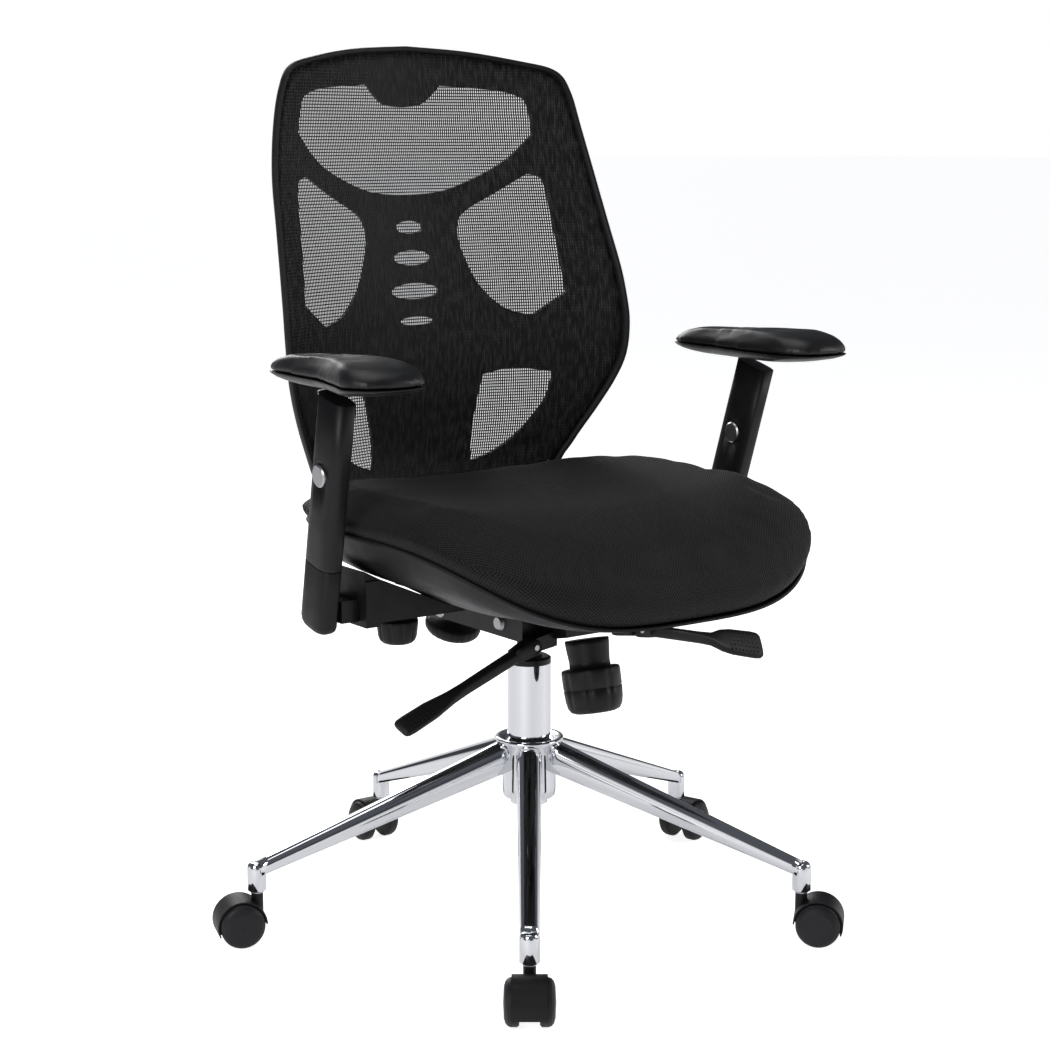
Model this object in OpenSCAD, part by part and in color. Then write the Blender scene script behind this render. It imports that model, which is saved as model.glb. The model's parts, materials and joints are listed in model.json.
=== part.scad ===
// Swivel office chair with a mesh back, a contoured seat, height-adjustable arms and a five-star base.
// Millimetres. +Z is up, the origin is on the floor under the column, the sitter faces -Y
// and the sitter's left hand is at +X.

/* [Base] */
// Radius of the circle that the caster stems stand on
base_r = 320; // [280:5:360]
// Width of a leg at the hub
leg_w_root = 31; // [26:1:38]
// Width of a leg at its tip
leg_w_tip = 20; // [17:1:24]
// Depth of a leg at the hub
leg_h_root = 35; // [30:1:44]
// Depth of a leg at its tip
leg_h_tip = 15; // [13:1:22]
// Wall of the hollow legs
leg_wall = 4; // [3:0.5:5]
// Diameter of the socket at each leg's tip
socket_d = 21.3; // [19:0.1:26]
// Length of the socket below the leg
socket_h = 31; // [28:1:40]
// How far the hub's rim stands above the sockets' lower ends
leg_rise = 152; // [120:2:180]
// Wall of the hub around the tube
hub_wall = 6; // [4:0.5:10]
// How far the hub's top rim flares beyond its barrel
hub_flare = 8.5; // [5:0.5:14]

/* [Casters] */
// Diameter of the wheels
wheel_d = 50; // [40:1:62]
// Width of one wheel
wheel_w = 16.5; // [14:0.5:20]
// Gap between a caster's two wheels
wheel_gap = 21; // [19:0.5:26]
// Distance from the stem's axis back to the axle
caster_trail = 20; // [17:0.5:25]
// Width of the hood over the wheels
hood_w = 37; // [33:1:42]
// Diameter of the grip stem in the leg's socket
stem_d = 11; // [9:0.5:13]
// Diameter of the axle
axle_d = 6; // [5:0.5:8]

/* [Gas lift] */
// Diameter of the chromed outer tube
tube_d = 50; // [46:1:56]
// Wall of the outer tube
tube_wall = 3; // [2:0.5:4]
// Length of tube that stands above the hub
tube_show = 86; // [70:2:110]
// Diameter of the gas cylinder that carries the chair
cylinder_d = 28; // [24:1:32]
// Diameter of the thin rod inside the cylinder
rod_d = 10; // [8:1:12]
// How far the seat rises
lift_travel = 100; // [60:5:105]

/* [Mechanism] */
// Width of the stamped housing
housing_w = 150; // [130:2:160]
// Plate thickness of the housing
housing_t = 3; // [2:0.5:4]
// Length of the housing in front of the column
housing_front = 90; // [84:1:96]
// Diameter of the two pivot pins
pivot_d = 10; // [8:0.5:12]
// Diameter of the tension knob's cup
tension_d = 66; // [54:1:72]
// Length of each lever from its pivot
lever_l = 187; // [160:1:210]
// Diameter of a lever's shank
lever_d = 13; // [10:0.5:15]

/* [Seat] */
// Width of the seat
seat_w = 520; // [460:4:540]
// Depth of the seat
seat_d = 485; // [450:5:500]
// Height of the side bolsters above the pan's floor
bolster_h = 138; // [125:1:150]
// Height of the pan's rim above its floor at the sides
pan_rim = 86; // [76:1:92]
// Wall of the plastic pan
pan_t = 3; // [2:0.5:4]

/* [Back] */
// Width of the back at its widest
back_w = 478; // [440:2:540]
// Height of the back
back_h = 519; // [470:1:590]
// Thickness of the moulded shell
shell_t = 5; // [4:0.5:7]
// Thickness of the woven mesh
mesh_t = 1.6; // [1.2:0.2:2.4]
// Width of the trim around the edge
rim_w = 10; // [8:1:14]
// Width of the upright bar behind the shell
upright_w = 40; // [32:1:50]
// How far the back slides up
back_travel = 60; // [30:5:60]

/* [Arms] */
// Clearance between the seat's side and an arm post at the bar
arm_clear = 2; // [1:0.5:20]
// Fore-and-aft size of an arm post
post_d = 50; // [46:1:58]
// Thickness of an arm post
post_w = 24; // [22:0.5:28]
// Thickness of the flat steel bar
bar_t = 8; // [6:0.5:9]
// Width of the flat steel bar
bar_w = 44; // [36:1:46]
// Length of the arm pads
pad_l = 252; // [230:2:280]
// Width of the arm pads at the front
pad_w = 94; // [80:1:106]
// Thickness of the arm pads
pad_t = 22; // [18:1:28]
// How far the arms rise
arm_travel = 70; // [40:5:75]
// How far each arm moves outwards
arm_slide = 30; // [20:1:35]
// Height of the joint between post and sleeve, up the post from the bar
joint_h = 66; // [50:1:80]
// Length of the sleeve
sleeve_h = 188; // [170:1:210]
// Diameter of the round button on each arm
button_d = 24; // [18:0.5:26]
// Diameter of the clamp knobs under the arms
arm_knob_d = 46; // [40:1:52]

/* [Hidden] */
$fn = 48;
eps = 0.01;
fit = 0.05;        // radial clearance of running fits
gap = 0.4;         // clearance between faces that pass each other
leg_angles = [for (i = [0:4]) 90 + 72 * i];
caster_turns = [0, 0, 0, 8, 0];
legs = len(leg_angles);
sides = ["left", "right"];
hub_d = tube_d + 2 * hub_wall;
hub_rim_d = hub_d + 2 * hub_flare;

// ---- heights, from the floor up ----
wheel_r = wheel_d / 2;
hood_in = wheel_r + 1.2;
hood_out = hood_in + 1.8;
boss_top = wheel_d + 7;               // top of a caster's stem boss
socket_z = boss_top + 2.5;             // lower end of a leg's socket
hub_top = socket_z + leg_rise;
hub_bottom = hub_top - 71;
tube_bottom = hub_top - 67;
tube_top = hub_top + tube_show;
cap_rim_h = 8;
cap_top = tube_top + cap_rim_h;
cone_z = cap_top + 25;                 // lower end of the mechanism's socket
floor_z = cone_z + 16;                 // underside of the housing
pan_z = floor_z + 40;                  // underside of the seat pan's floor

function lerp(a, b, t) = a + (b - a) * t;
function cat(a, b, c, d, t) =
    0.5 * (2 * b + (c - a) * t + (2 * a - 5 * b + 4 * c - d) * t * t
           + (3 * b - a - 3 * c + d) * t * t * t);
// A closed smooth curve through points, with n pieces between two of them
function closed_curve(p, n) = let (m = len(p))
    [for (i = [0:m - 1]) for (k = [0:n - 1])
        cat(p[(i + m - 1) % m], p[i], p[(i + 1) % m], p[(i + 2) % m], k / n)];
// An open smooth curve, and the last point
function open_curve(p, n) = let (m = len(p) - 1)
    concat([for (i = [0:m - 1]) for (k = [0:n - 1])
        cat(p[max(i - 1, 0)], p[i], p[i + 1], p[min(i + 2, m)], k / n)], [p[m]]);
function mirrored(p) = [for (i = [len(p) - 1:-1:0]) [-p[i].x, p[i].y]];
function at_z(p, z) = [for (i = [0:len(p) - 2]) if (p[i].x <= z && z < p[i + 1].x)
    lerp(p[i].y, p[i + 1].y, (z - p[i].x) / (p[i + 1].x - p[i].x))][0];

module extrude_x(w) { rotate([90, 0, 90]) linear_extrude(w, center = true) children(); }
module extrude_y(w) { rotate([90, 0, 0]) linear_extrude(w, center = true) children(); }

// ---- base ----
leg_slope = (hub_top - 3 - (socket_z + socket_h + 2)) / (base_r - hub_d / 2);
function leg_top(r) = socket_z + socket_h + 2 + (base_r - r) * leg_slope;
function leg_low(r) = leg_top(r) - lerp(leg_h_tip, leg_h_root,
    (base_r - r) / (base_r - hub_d / 2));

module leg_side(r0, r1, drop, extra) {
    extrude_y(leg_w_root + 20)
        polygon([[r0, leg_top(r0) - drop], [r1, leg_top(r1) - drop],
                 [r1, leg_low(r1) - extra], [r0, leg_low(r0) - extra]]);
}
module leg_plan(wall) {
    root = leg_w_root / 2 - wall;
    tip = leg_w_tip / 2 - wall;
    linear_extrude(hub_top + 20)
        polygon([[0, -root], [base_r, -tip], [base_r, tip], [0, root]]);
}
module leg() {
    difference() {
        intersection() {
            leg_side(tube_d / 2 + 2, base_r, 0, 0);
            leg_plan(0);
        }
        intersection() {
            leg_side(hub_d / 2 + 14, base_r - 24, leg_wall + 1, 30);
            leg_plan(leg_wall);
        }
    }
}
module hub_body() {
    rotate_extrude($fn = 72)
        polygon([[tube_d / 2 - 1, hub_bottom], [hub_d / 2 - 2, hub_bottom],
                 [hub_d / 2, hub_bottom + 2], [hub_d / 2, hub_top - 16],
                 [hub_rim_d / 2 - 4, hub_top - 7], [hub_rim_d / 2, hub_top - 3],
                 [hub_rim_d / 2 - 1.5, hub_top], [tube_d / 2 - 1, hub_top]]);
}
module star_base() {
    color("silver") difference() {
        union() {
            hub_body();
            for (a = leg_angles) rotate(a) {
                leg();
                translate([base_r, 0, socket_z]) cylinder(d = socket_d, h = socket_h + 2);
            }
        }
        translate([0, 0, hub_bottom - 5]) cylinder(d = tube_d, h = 90, $fn = 72);
        for (a = leg_angles) rotate(a)
            translate([base_r, 0, socket_z - 1]) cylinder(d = stem_d, h = 26);
    }
}

// ---- casters ----
swage_d = stem_d - 3;
module at_stem(i) {
    rotate(leg_angles[i]) translate([base_r, 0, 0]) rotate(caster_turns[i]) children();
}
module at_axle(i) { at_stem(i) translate([caster_trail, 0, wheel_r]) children(); }
module caster_stems() {
    color("dimgray") for (i = [0:legs - 1]) at_stem(i) {
        translate([0, 0, boss_top - 18]) cylinder(d = swage_d, h = 20);
        translate([0, 0, boss_top + 0.5]) cylinder(d = stem_d + 4, h = socket_z - boss_top - 0.5);
        translate([0, 0, socket_z - 0.5]) cylinder(d = stem_d, h = 24);
    }
}
hood_cut = 11;     // how far the hood's rear end reaches below the axle
module caster_hood(i) {
    back_angle = asin(hood_cut / hood_out);
    color([0.13, 0.13, 0.14]) at_stem(i) difference() {
        union() {
            translate([caster_trail, 0, wheel_r]) {
                rotate([90, 0, 0]) rotate(-back_angle) rotate_extrude(angle = 180 + back_angle)
                    translate([hood_in, -hood_w / 2]) square([hood_out - hood_in, hood_w]);
                difference() {
                    rotate([90, 0, 0]) cylinder(r = hood_out - 0.4, h = wheel_gap - 2, center = true);
                    rotate([0, back_angle / 2, 0])
                        translate([-60, -30, -60 - hood_cut / 2]) cube([120, 60, 60]);
                }
            }
            translate([0, 0, wheel_r + 6]) cylinder(d = stem_d + 2.4, h = boss_top - wheel_r - 6);
        }
        translate([0, 0, boss_top - 19]) cylinder(d = swage_d + 2 * fit, h = 30);
        translate([caster_trail, 0, wheel_r]) rotate([90, 0, 0])
            cylinder(d = axle_d, h = 60, center = true);
    }
}
axle_in_wheel = 11;
module caster_axle(i) {
    color("gray") at_axle(i) rotate([90, 0, 0])
        cylinder(d = axle_d, h = wheel_gap + 2 * axle_in_wheel, center = true);
}
module wheel(i, side) {
    out = wheel_gap / 2 + wheel_w;
    color([0.2, 0.2, 0.21]) at_axle(i) rotate([90 * side, 0, 0]) difference() {
        rotate_extrude($fn = 64)
            polygon([[0, wheel_gap / 2], [wheel_r - 2, wheel_gap / 2], [wheel_r, wheel_gap / 2 + 2],
                     [wheel_r, out - 7.5], [wheel_r - 1.2, out - 4.6], [wheel_r - 4, out - 2.2],
                     [wheel_r - 9, out - 0.7], [0, out]]);
        translate([0, 0, wheel_gap / 2 - 1]) cylinder(d = axle_d + 2 * fit, h = axle_in_wheel + 1.5);
    }
}

// ---- gas lift ----
bush_d = tube_d - 2 * tube_wall;
rod_flange_z = tube_bottom + 10;
cylinder_low = rod_flange_z + 8;       // lower end of the gas cylinder at its lowest
cylinder_top = floor_z + 26;
gland_h = 8;
module column_tube() {
    color([0.8, 0.8, 0.82]) difference() {
        union() {
            translate([0, 0, tube_bottom]) cylinder(d = tube_d, h = tube_top - tube_bottom, $fn = 72);
            translate([0, 0, tube_bottom - 12]) cylinder(d = tube_d - 8, h = 12.5);
        }
        translate([0, 0, tube_bottom + 5]) cylinder(d = bush_d, h = 200, $fn = 72);
    }
}
module column_cap() {
    color([0.1, 0.1, 0.1]) difference() {
        union() {
            translate([0, 0, tube_top]) cylinder(d = tube_d, h = cap_rim_h - 2);
            translate([0, 0, tube_top + cap_rim_h - 2]) cylinder(d1 = tube_d, d2 = tube_d - 6, h = 2);
            translate([0, 0, tube_top - 6]) cylinder(d = bush_d, h = 6.5);
        }
        translate([0, 0, tube_top - 10]) cylinder(d = cylinder_d + 1, h = 30);
    }
}
module guide_bush() {
    color("ivory") translate([0, 0, tube_top - 76]) difference() {
        cylinder(d = bush_d, h = 70);
        translate([0, 0, -1]) cylinder(d = cylinder_d + 2 * fit, h = 72);
    }
}
module thrust_bearing() {
    color("gray") translate([0, 0, tube_bottom + 5]) difference() {
        cylinder(d = rod_d + 16, h = 4.8);
        translate([0, 0, -1]) cylinder(d = rod_d + 2 * fit, h = 8);
    }
}
module piston_rod() {
    head_z = cylinder_low + gland_h + lift_travel + 2;
    color("lightgray") {
        translate([0, 0, tube_bottom + 5.4]) cylinder(d = rod_d, h = head_z + 1 - tube_bottom - 5.4);
        translate([0, 0, rod_flange_z]) cylinder(d = rod_d + 10, h = 3);
        translate([0, 0, head_z]) cylinder(d = cylinder_d - 6 - 2 * fit, h = 8);
    }
}
module gas_cylinder() {
    color([0.15, 0.15, 0.16]) difference() {
        translate([0, 0, cylinder_low]) cylinder(d = cylinder_d, h = cylinder_top - cylinder_low);
        translate([0, 0, cylinder_low + gland_h])
            cylinder(d = cylinder_d - 6, h = cylinder_top - cylinder_low - gland_h - 12);
        translate([0, 0, cylinder_low - 1]) cylinder(d = rod_d + 2 * fit, h = gland_h + 2);
    }
}

// ---- mechanism ----
front_y = -housing_front;
pivot_z = floor_z + 15;                // seat pivot
seat_pivot_y = -48;
back_pivot_y = 70;
back_pivot_z = floor_z + 9;
nose_w = 90;
nose_y = front_y - 40;
knob_tilt = 12.7;
knob_y = front_y - 16;
knob_z = floor_z + 16 * tan(knob_tilt);
lug_y = front_y - 14;                  // middle of the lever lugs
lever_x = housing_w / 2 - 2;
lever_z = floor_z - 1;
lever_pin_d = 6;
lug_t = 8;

module housing_side() {
    polygon([[front_y, floor_z], [front_y, floor_z + 32], [-20, floor_z + 32], [92, floor_z + 14],
             [92, floor_z + 2], [84, floor_z], [40, floor_z]]);
}
module nose_side() {
    polygon([[front_y + 1, floor_z], [front_y, floor_z], [nose_y, floor_z + 40 * tan(knob_tilt)],
             [nose_y, floor_z + 24], [front_y - 6, floor_z + 32], [front_y + 1, floor_z + 32]]);
}
module at_knob() { translate([0, knob_y, knob_z]) rotate([-knob_tilt, 0, 0]) children(); }
module mechanism_housing() {
    inner_w = housing_w - 2 * housing_t;
    color([0.12, 0.12, 0.13]) difference() {
        union() {
            difference() {
                extrude_x(housing_w) housing_side();
                translate([-inner_w / 2, front_y + housing_t, floor_z + housing_t])
                    cube([inner_w, 300, 60]);
                translate([-inner_w / 2, 42, floor_z - 5]) cube([inner_w, 100, 60]);
            }
            difference() {
                extrude_x(nose_w) nose_side();
                translate([-nose_w / 2 + housing_t, nose_y + housing_t, floor_z + 17])
                    cube([nose_w - 2 * housing_t, 40 - housing_t - 1, 60]);
            }
            translate([0, 0, cone_z]) cylinder(d = cylinder_d + 14, h = cylinder_top - cone_z);
            for (s = [-1, 1]) hull() {
                translate([s * (nose_w / 2 - 2), lug_y, floor_z + 4])
                    cube([4, lug_t, 16], center = true);
                translate([s * lever_x, lug_y, lever_z]) rotate([90, 0, 0])
                    cylinder(d = 15, h = lug_t, center = true, $fn = 32);
            }
        }
        translate([0, 0, cone_z - 1]) cylinder(d = cylinder_d, h = 100);
        translate([0, seat_pivot_y, pivot_z]) rotate([0, 90, 0])
            cylinder(d = pivot_d, h = 300, center = true);
        translate([0, back_pivot_y, back_pivot_z]) rotate([0, 90, 0])
            cylinder(d = pivot_d, h = 300, center = true);
        for (s = [-1, 1]) translate([s * lever_x, lug_y, lever_z]) rotate([90, 0, 0])
            cylinder(d = lever_pin_d, h = 40, center = true);
        at_knob() {
            translate([0, 0, -20]) cylinder(d = bolt_d + 2 * fit, h = 80);
            translate([0, 0, pocket_z]) cylinder(d = spring_mean_d + 8, h = 60);
        }
    }
}
bolt_d = 10;
module pivot_pins() {
    color("silver") {
        for (p = [[seat_pivot_y, pivot_z], [back_pivot_y, back_pivot_z]])
            translate([0, p.x, p.y]) rotate([0, 90, 0]) {
                cylinder(d = pivot_d, h = housing_w + 4, center = true);
                for (s = [-1, 1]) translate([0, 0, s * (housing_w / 2 + 2)])
                    cylinder(d1 = s > 0 ? 17 : 13, d2 = s > 0 ? 13 : 17, h = 4, center = true);
            }
        for (s = [-1, 1]) translate([s * lever_x, lug_y, lever_z]) rotate([90, 0, 0])
            cylinder(d = lever_pin_d, h = lug_t + 14, center = true);
    }
}
module tension_knob() {
    color([0.17, 0.17, 0.18]) at_knob() {
        rotate_extrude($fn = 72)
            polygon([[0, -6], [24.5, -6], [23.5, -38], [tension_d / 2 - 1, -38],
                     [tension_d / 2, -39], [tension_d / 2 - 2.5, -81], [tension_d / 2 - 7, -87],
                     [0, -87]]);
        translate([0, 0, -7]) cylinder(d = bolt_d, h = 34);
    }
}
spring_turns = 4;
spring_wire = 3;
spring_mean_d = 22;
pocket_z = 9;      // floor of the spring's pocket, along the knob's axis
module tension_spring() {
    steps = 12;
    ring = 8;
    n = spring_turns * steps;
    z0 = pocket_z + spring_wire / 2;
    pitch = 3.6;
    pts = [for (i = [0:n]) for (k = [0:ring - 1])
        let (a = 360 * i / steps, b = 360 * k / ring, r = spring_mean_d / 2 + spring_wire / 2 * cos(b))
            [r * cos(a), r * sin(a), z0 + pitch * i / steps + spring_wire / 2 * sin(b)]];
    skin = [for (i = [0:n - 1]) for (k = [0:ring - 1]) let (j = (k + 1) % ring)
        [i * ring + k, i * ring + j, (i + 1) * ring + j, (i + 1) * ring + k]];
    low = [for (k = [ring - 1:-1:0]) k];
    high = [for (k = [0:ring - 1]) n * ring + k];
    color("silver") at_knob() polyhedron(pts, concat([low], skin, [high]), 4);
}

// A lever: fork on its pin, round shank, flat paddle, drooping along local +X.
// The shank is turned sideways from the fork by yaw, and the paddle is rolled about it.
module lever_body(length, yaw, droop, roll, tip_w) {
    paddle_l = 70;
    rotate([0, droop, 0]) difference() {
        union() {
            for (s = [-1, 1]) translate([0, s * (lug_t / 2 + gap + 2.25), 0]) rotate([90, 0, 0]) {
                cylinder(r = 8.5, h = 4.5, center = true);
                translate([0, -6, -2.25]) cube([20, 12, 4.5]);
            }
            translate([14, -lug_t / 2 - gap - 4.5, -6]) cube([10, lug_t + 2 * gap + 9, 12]);
            translate([18, 0, 0]) rotate([0, 0, yaw]) {
                rotate([0, 90, 0]) cylinder(d = lever_d, h = length - paddle_l - 14);
                translate([length - paddle_l - 18, 0, 0]) rotate([-roll, 0, 0])
                    linear_extrude(9, center = true) polygon([[-14, -lever_d / 2 + 1],
                        [8, -tip_w / 2 + 3], [paddle_l - 6, -tip_w / 2], [paddle_l, -tip_w / 2 + 6],
                        [paddle_l, tip_w / 2 - 6], [paddle_l - 6, tip_w / 2], [8, tip_w / 2 - 3],
                        [-14, lever_d / 2 - 1]]);
            }
        }
        rotate([90, 0, 0]) cylinder(d = lever_pin_d + 2 * fit, h = 60, center = true);
    }
}
module height_lever() {
    color([0.13, 0.13, 0.14]) translate([-lever_x, lug_y, lever_z])
        rotate(180) lever_body(lever_l, 3, 20, 30, 30);
}
module tilt_lever() {
    color([0.13, 0.13, 0.14]) translate([lever_x, lug_y, lever_z])
        mirror([0, 1, 0]) lever_body(0.93 * lever_l, 8, 13, 52, 40);
}

// ---- seat ----
seat_front = seat_d * 0.62;
seat_rear = seat_d - seat_front;
seat_mid = (seat_rear - seat_front) / 2;
around = 64;                           // points around the seat's outline
// Superellipse outline, rounder in front than behind
function seat_edge(a, f) = let (c = cos(a), s = sin(a), e = 2 / (s < 0 ? 3.0 : 3.6))
    [f * seat_w / 2 * sign(c) * pow(abs(c), e),
     seat_mid + f * seat_d / 2 * sign(s) * pow(abs(s), e)];
function edge_share(a) = abs(seat_edge(a, 1).x) / (seat_w / 2);
// The rim dips to the front in an arch
function rim_rise(a) = sin(a) < 0 ? lerp(8, pan_rim, pow(edge_share(a), 3.4))
                                  : pan_rim - 8 * (1 - pow(edge_share(a), 2));
pan_floor = 0.5;                       // share of the outline that is flat floor
pan_steps = [[pan_floor, 0], [0.65, 0.23], [0.85, 0.5], [0.93, 0.72], [0.965, 1]];
function pan_ring(k, grow, lift) = [for (i = [0:around - 1]) let (a = 360 * i / around,
    p = seat_edge(a, pan_steps[k].x + grow)) [p.x, p.y, pan_z + lift + pan_steps[k].y * rim_rise(a)]];
function centre(z) = [[0, seat_mid, z]];

// Joins rings of the same length, from a centre point to a centre point
module ring_solid(first, rings, last) {
    n = len(rings[0]);
    m = len(rings);
    pts = concat(first, [for (r = rings) for (p = r) p], last);
    faces = concat(
        [for (i = [0:n - 1]) [0, 1 + i, 1 + (i + 1) % n]],
        [for (r = [0:m - 2]) for (i = [0:n - 1]) let (j = (i + 1) % n)
            [1 + r * n + i, 1 + (r + 1) * n + i, 1 + (r + 1) * n + j]],
        [for (r = [0:m - 2]) for (i = [0:n - 1]) let (j = (i + 1) % n)
            [1 + r * n + i, 1 + (r + 1) * n + j, 1 + r * n + j]],
        [for (i = [0:n - 1]) [1 + (m - 1) * n + i, 1 + m * n, 1 + (m - 1) * n + (i + 1) % n]]);
    polyhedron(pts, faces, 6);
}
last_step = len(pan_steps) - 1;
module seat_pan() {
    color([0.2, 0.2, 0.21]) ring_solid(centre(pan_z),
        concat([for (k = [0:last_step]) pan_ring(k, 0, 0)],
               [for (k = [last_step:-1:0]) pan_ring(k, -0.012, pan_t)]),
        centre(pan_z + pan_t));
}
side_rise = 27;    // bolsters above the middle of the seat
nose_drop = 38;    // fall of the top at the front edge
rear_rise = 8;     // rise of the top towards the back
dish = 6;          // depth of the hollow where the sitter sits
function cushion_top(x, y) = let (u = abs(x) / (seat_w / 2),
    v = max(0, (-y - 0.27 * seat_d) / (0.35 * seat_d)),
    w = max(0, (y - 0.2 * seat_d) / (0.18 * seat_d)))
    pan_z + bolster_h - side_rise - 5 + side_rise * pow(u, 2.4) * (1 - 0.5 * min(1, v))
    - nose_drop * pow(v, 1.8) + rear_rise * min(1, w)
    - dish * exp(-pow(x / 110, 2) - pow((y - 20) / 120, 2));
function cushion_side(f, t) = [for (i = [0:around - 1]) let (a = 360 * i / around, p = seat_edge(a, f),
    q = seat_edge(a, 0.9)) [p.x, p.y, lerp(pan_z + pan_t + rim_rise(a) + 1, cushion_top(q.x, q.y), t)]];
function cushion_ring(f) = [for (i = [0:around - 1]) let (p = seat_edge(360 * i / around, f))
    [p.x, p.y, cushion_top(p.x, p.y)]];
module seat_cushion() {
    color([0.08, 0.08, 0.08]) ring_solid(centre(pan_z + pan_t),
        concat([for (k = [0:last_step])
                   pan_ring(k, k == 0 ? -0.012 : -0.02, k == 0 ? pan_t : pan_t + 1.4)],
               [cushion_side(0.967, 0.008), cushion_side(0.99, 0.14), cushion_side(1, 0.38),
                cushion_side(0.993, 0.66), cushion_side(0.965, 0.88), cushion_side(0.91, 1)],
               [for (f = [0.8, 0.64, 0.46, 0.26, 0.12]) cushion_ring(f)]),
        centre(cushion_top(0, seat_mid)));
}
plate_t = 3;
plate_half = 110;
ear_x = housing_w / 2 - housing_t - 5;
module seat_plate() {
    color("dimgray") difference() {
        union() {
            translate([-plate_half, -plate_half, pan_z - plate_t])
                cube([2 * plate_half, 2 * plate_half, plate_t]);
            for (s = [-1, 1]) translate([s * ear_x, seat_pivot_y, 0]) {
                extrude_x(4) polygon([[-14, pan_z - 1], [-9, pivot_z - 4], [-4, pivot_z - 9],
                                      [4, pivot_z - 9], [9, pivot_z - 4], [14, pan_z - 1]]);
            }
        }
        translate([0, seat_pivot_y, pivot_z]) rotate([0, 90, 0])
            cylinder(d = pivot_d + 2 * fit, h = 300, center = true);
    }
}

// ---- back ----
back_z = pan_z + 88;                   // lower edge of the back
shell_low_r = 326;                     // radius of the shell's lower part
axis_y = seat_rear + 41.7 - shell_low_r;   // the shell is turned about a vertical line in front
shell_spread = asin((back_w / 2 + 12) / shell_low_r) + 2;
// Half widths, as [share of half width, share of height]
back_side = [[0, 0], [0.42, 0.004], [0.68, 0.022], [0.75, 0.06], [0.81, 0.11], [0.88, 0.17],
    [0.945, 0.235], [0.985, 0.295], [1, 0.37], [0.995, 0.44], [0.985, 0.5], [0.96, 0.6],
    [0.93, 0.72], [0.885, 0.83], [0.84, 0.906], [0.775, 0.95], [0.62, 0.97], [0.33, 0.991], [0, 1]];
function back_outline(inset) = let (right = [for (p = back_side)
        [max(p.x * back_w / 2 - inset * (p.x > 0.5 ? 1 : 2 * p.x), 0),
         lerp(back_z + inset, back_z + back_h - inset, p.y)]],
    half = open_curve(right, 3))
    concat(half, [for (i = [len(half) - 2:-1:1]) [-half[i].x, half[i].y]]);
// Radius of the shell's turned surface, as [share of height, radius]
shell_curve = open_curve([[-0.01, 326], [0.2, 325], [0.36, 327], [0.48, 333], [0.6, 343], [0.72, 354],
                          [0.84, 358], [0.95, 354], [1.01, 348]], 3);
function shell_r(h) = at_z(shell_curve, h);
shell_bands = 11;
band_over = 0.008;                     // the turned surface runs past both ends of the outline
module turned_shell(front, rear) {
    hs = [for (i = [0:shell_bands]) lerp(-band_over, 1 + band_over, i / shell_bands)];
    rs = [for (i = [shell_bands:-1:0]) hs[i]];
    translate([0, axis_y, 0]) rotate(90 - shell_spread)
        rotate_extrude(angle = 2 * shell_spread, $fn = 96)
            polygon(concat([for (h = hs) [shell_r(h) + front, back_z + h * back_h]],
                           [for (h = rs) [shell_r(h) + rear, back_z + h * back_h]]));
}
module through_back() { translate([0, 150, 0]) extrude_y(500) children(); }
module back_prism(inset) { through_back() polygon(back_outline(inset)); }

// Openings, as smooth stretches of [x, share of height] that meet at corners
top_window = [[[0, 0.864], [26, 0.87], [42, 0.893], [52, 0.914]],
              [[52, 0.914], [120, 0.905], [150, 0.892], [162, 0.872], [169, 0.806]],
              [[169, 0.806], [140, 0.75], [104, 0.71], [52, 0.674], [0, 0.666]]];
ear_window = [[[158, 0.712], [175, 0.702], [180, 0.66]],
              [[180, 0.66], [189, 0.438]],
              [[189, 0.438], [150, 0.384]],
              [[150, 0.384], [116, 0.404], [88, 0.456], [74, 0.51], [66, 0.56], [68, 0.605],
               [82, 0.632], [118, 0.668], [158, 0.712]]];
low_window = [[[88, 0.248], [125, 0.262], [172, 0.25]],
              [[172, 0.25], [164, 0.19], [138, 0.12], [104, 0.068], [72, 0.046]],
              [[72, 0.046], [72, 0.11], [80, 0.19], [88, 0.248]]];
window_ref_w = 488;                    // back width that the openings' x is given for
// Ovals down the spine, as [share of height, width in mm, height in mm]
spine_ovals = [[0.593, 39, 15], [0.524, 53, 18], [0.448, 68, 19], [0.38, 48, 10], [0.294, 9, 8]];
function all_but_last(p) = [for (i = [0:len(p) - 2]) p[i]];
function window_edge(stretches, s) = [for (p = stretches) for (q = all_but_last(open_curve(p, 3)))
    [s * q.x * back_w / window_ref_w, back_z + q.y * back_h]];
module shell_windows() {
    for (s = [-1, 1]) {
        polygon(window_edge(concat(top_window, [[[0, 0.666], [0, 0.864]]]), s));
        polygon(window_edge(ear_window, s));
        polygon(window_edge(low_window, s));
    }
    for (o = spine_ovals) translate([0, back_z + o[0] * back_h])
        polygon([for (a = [0:12:348]) [o[1] / 2 * cos(a), o[2] / 2 * sin(a)]]);
}
rim_lap = 4;       // the trim's width that the shell and the mesh reach into
rim_front = 7;     // the trim stands this far in front of the shell
module back_shell() {
    color([0.1, 0.1, 0.1]) difference() {
        intersection() {
            turned_shell(0, shell_t);
            back_prism(rim_w - rim_lap);
        }
        through_back() shell_windows();
    }
}
module back_rim() {
    color([0.07, 0.07, 0.07]) intersection() {
        turned_shell(-rim_front, shell_t + 1);
        difference() {
            back_prism(0);
            back_prism(rim_w - rim_lap);
        }
    }
}
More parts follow.
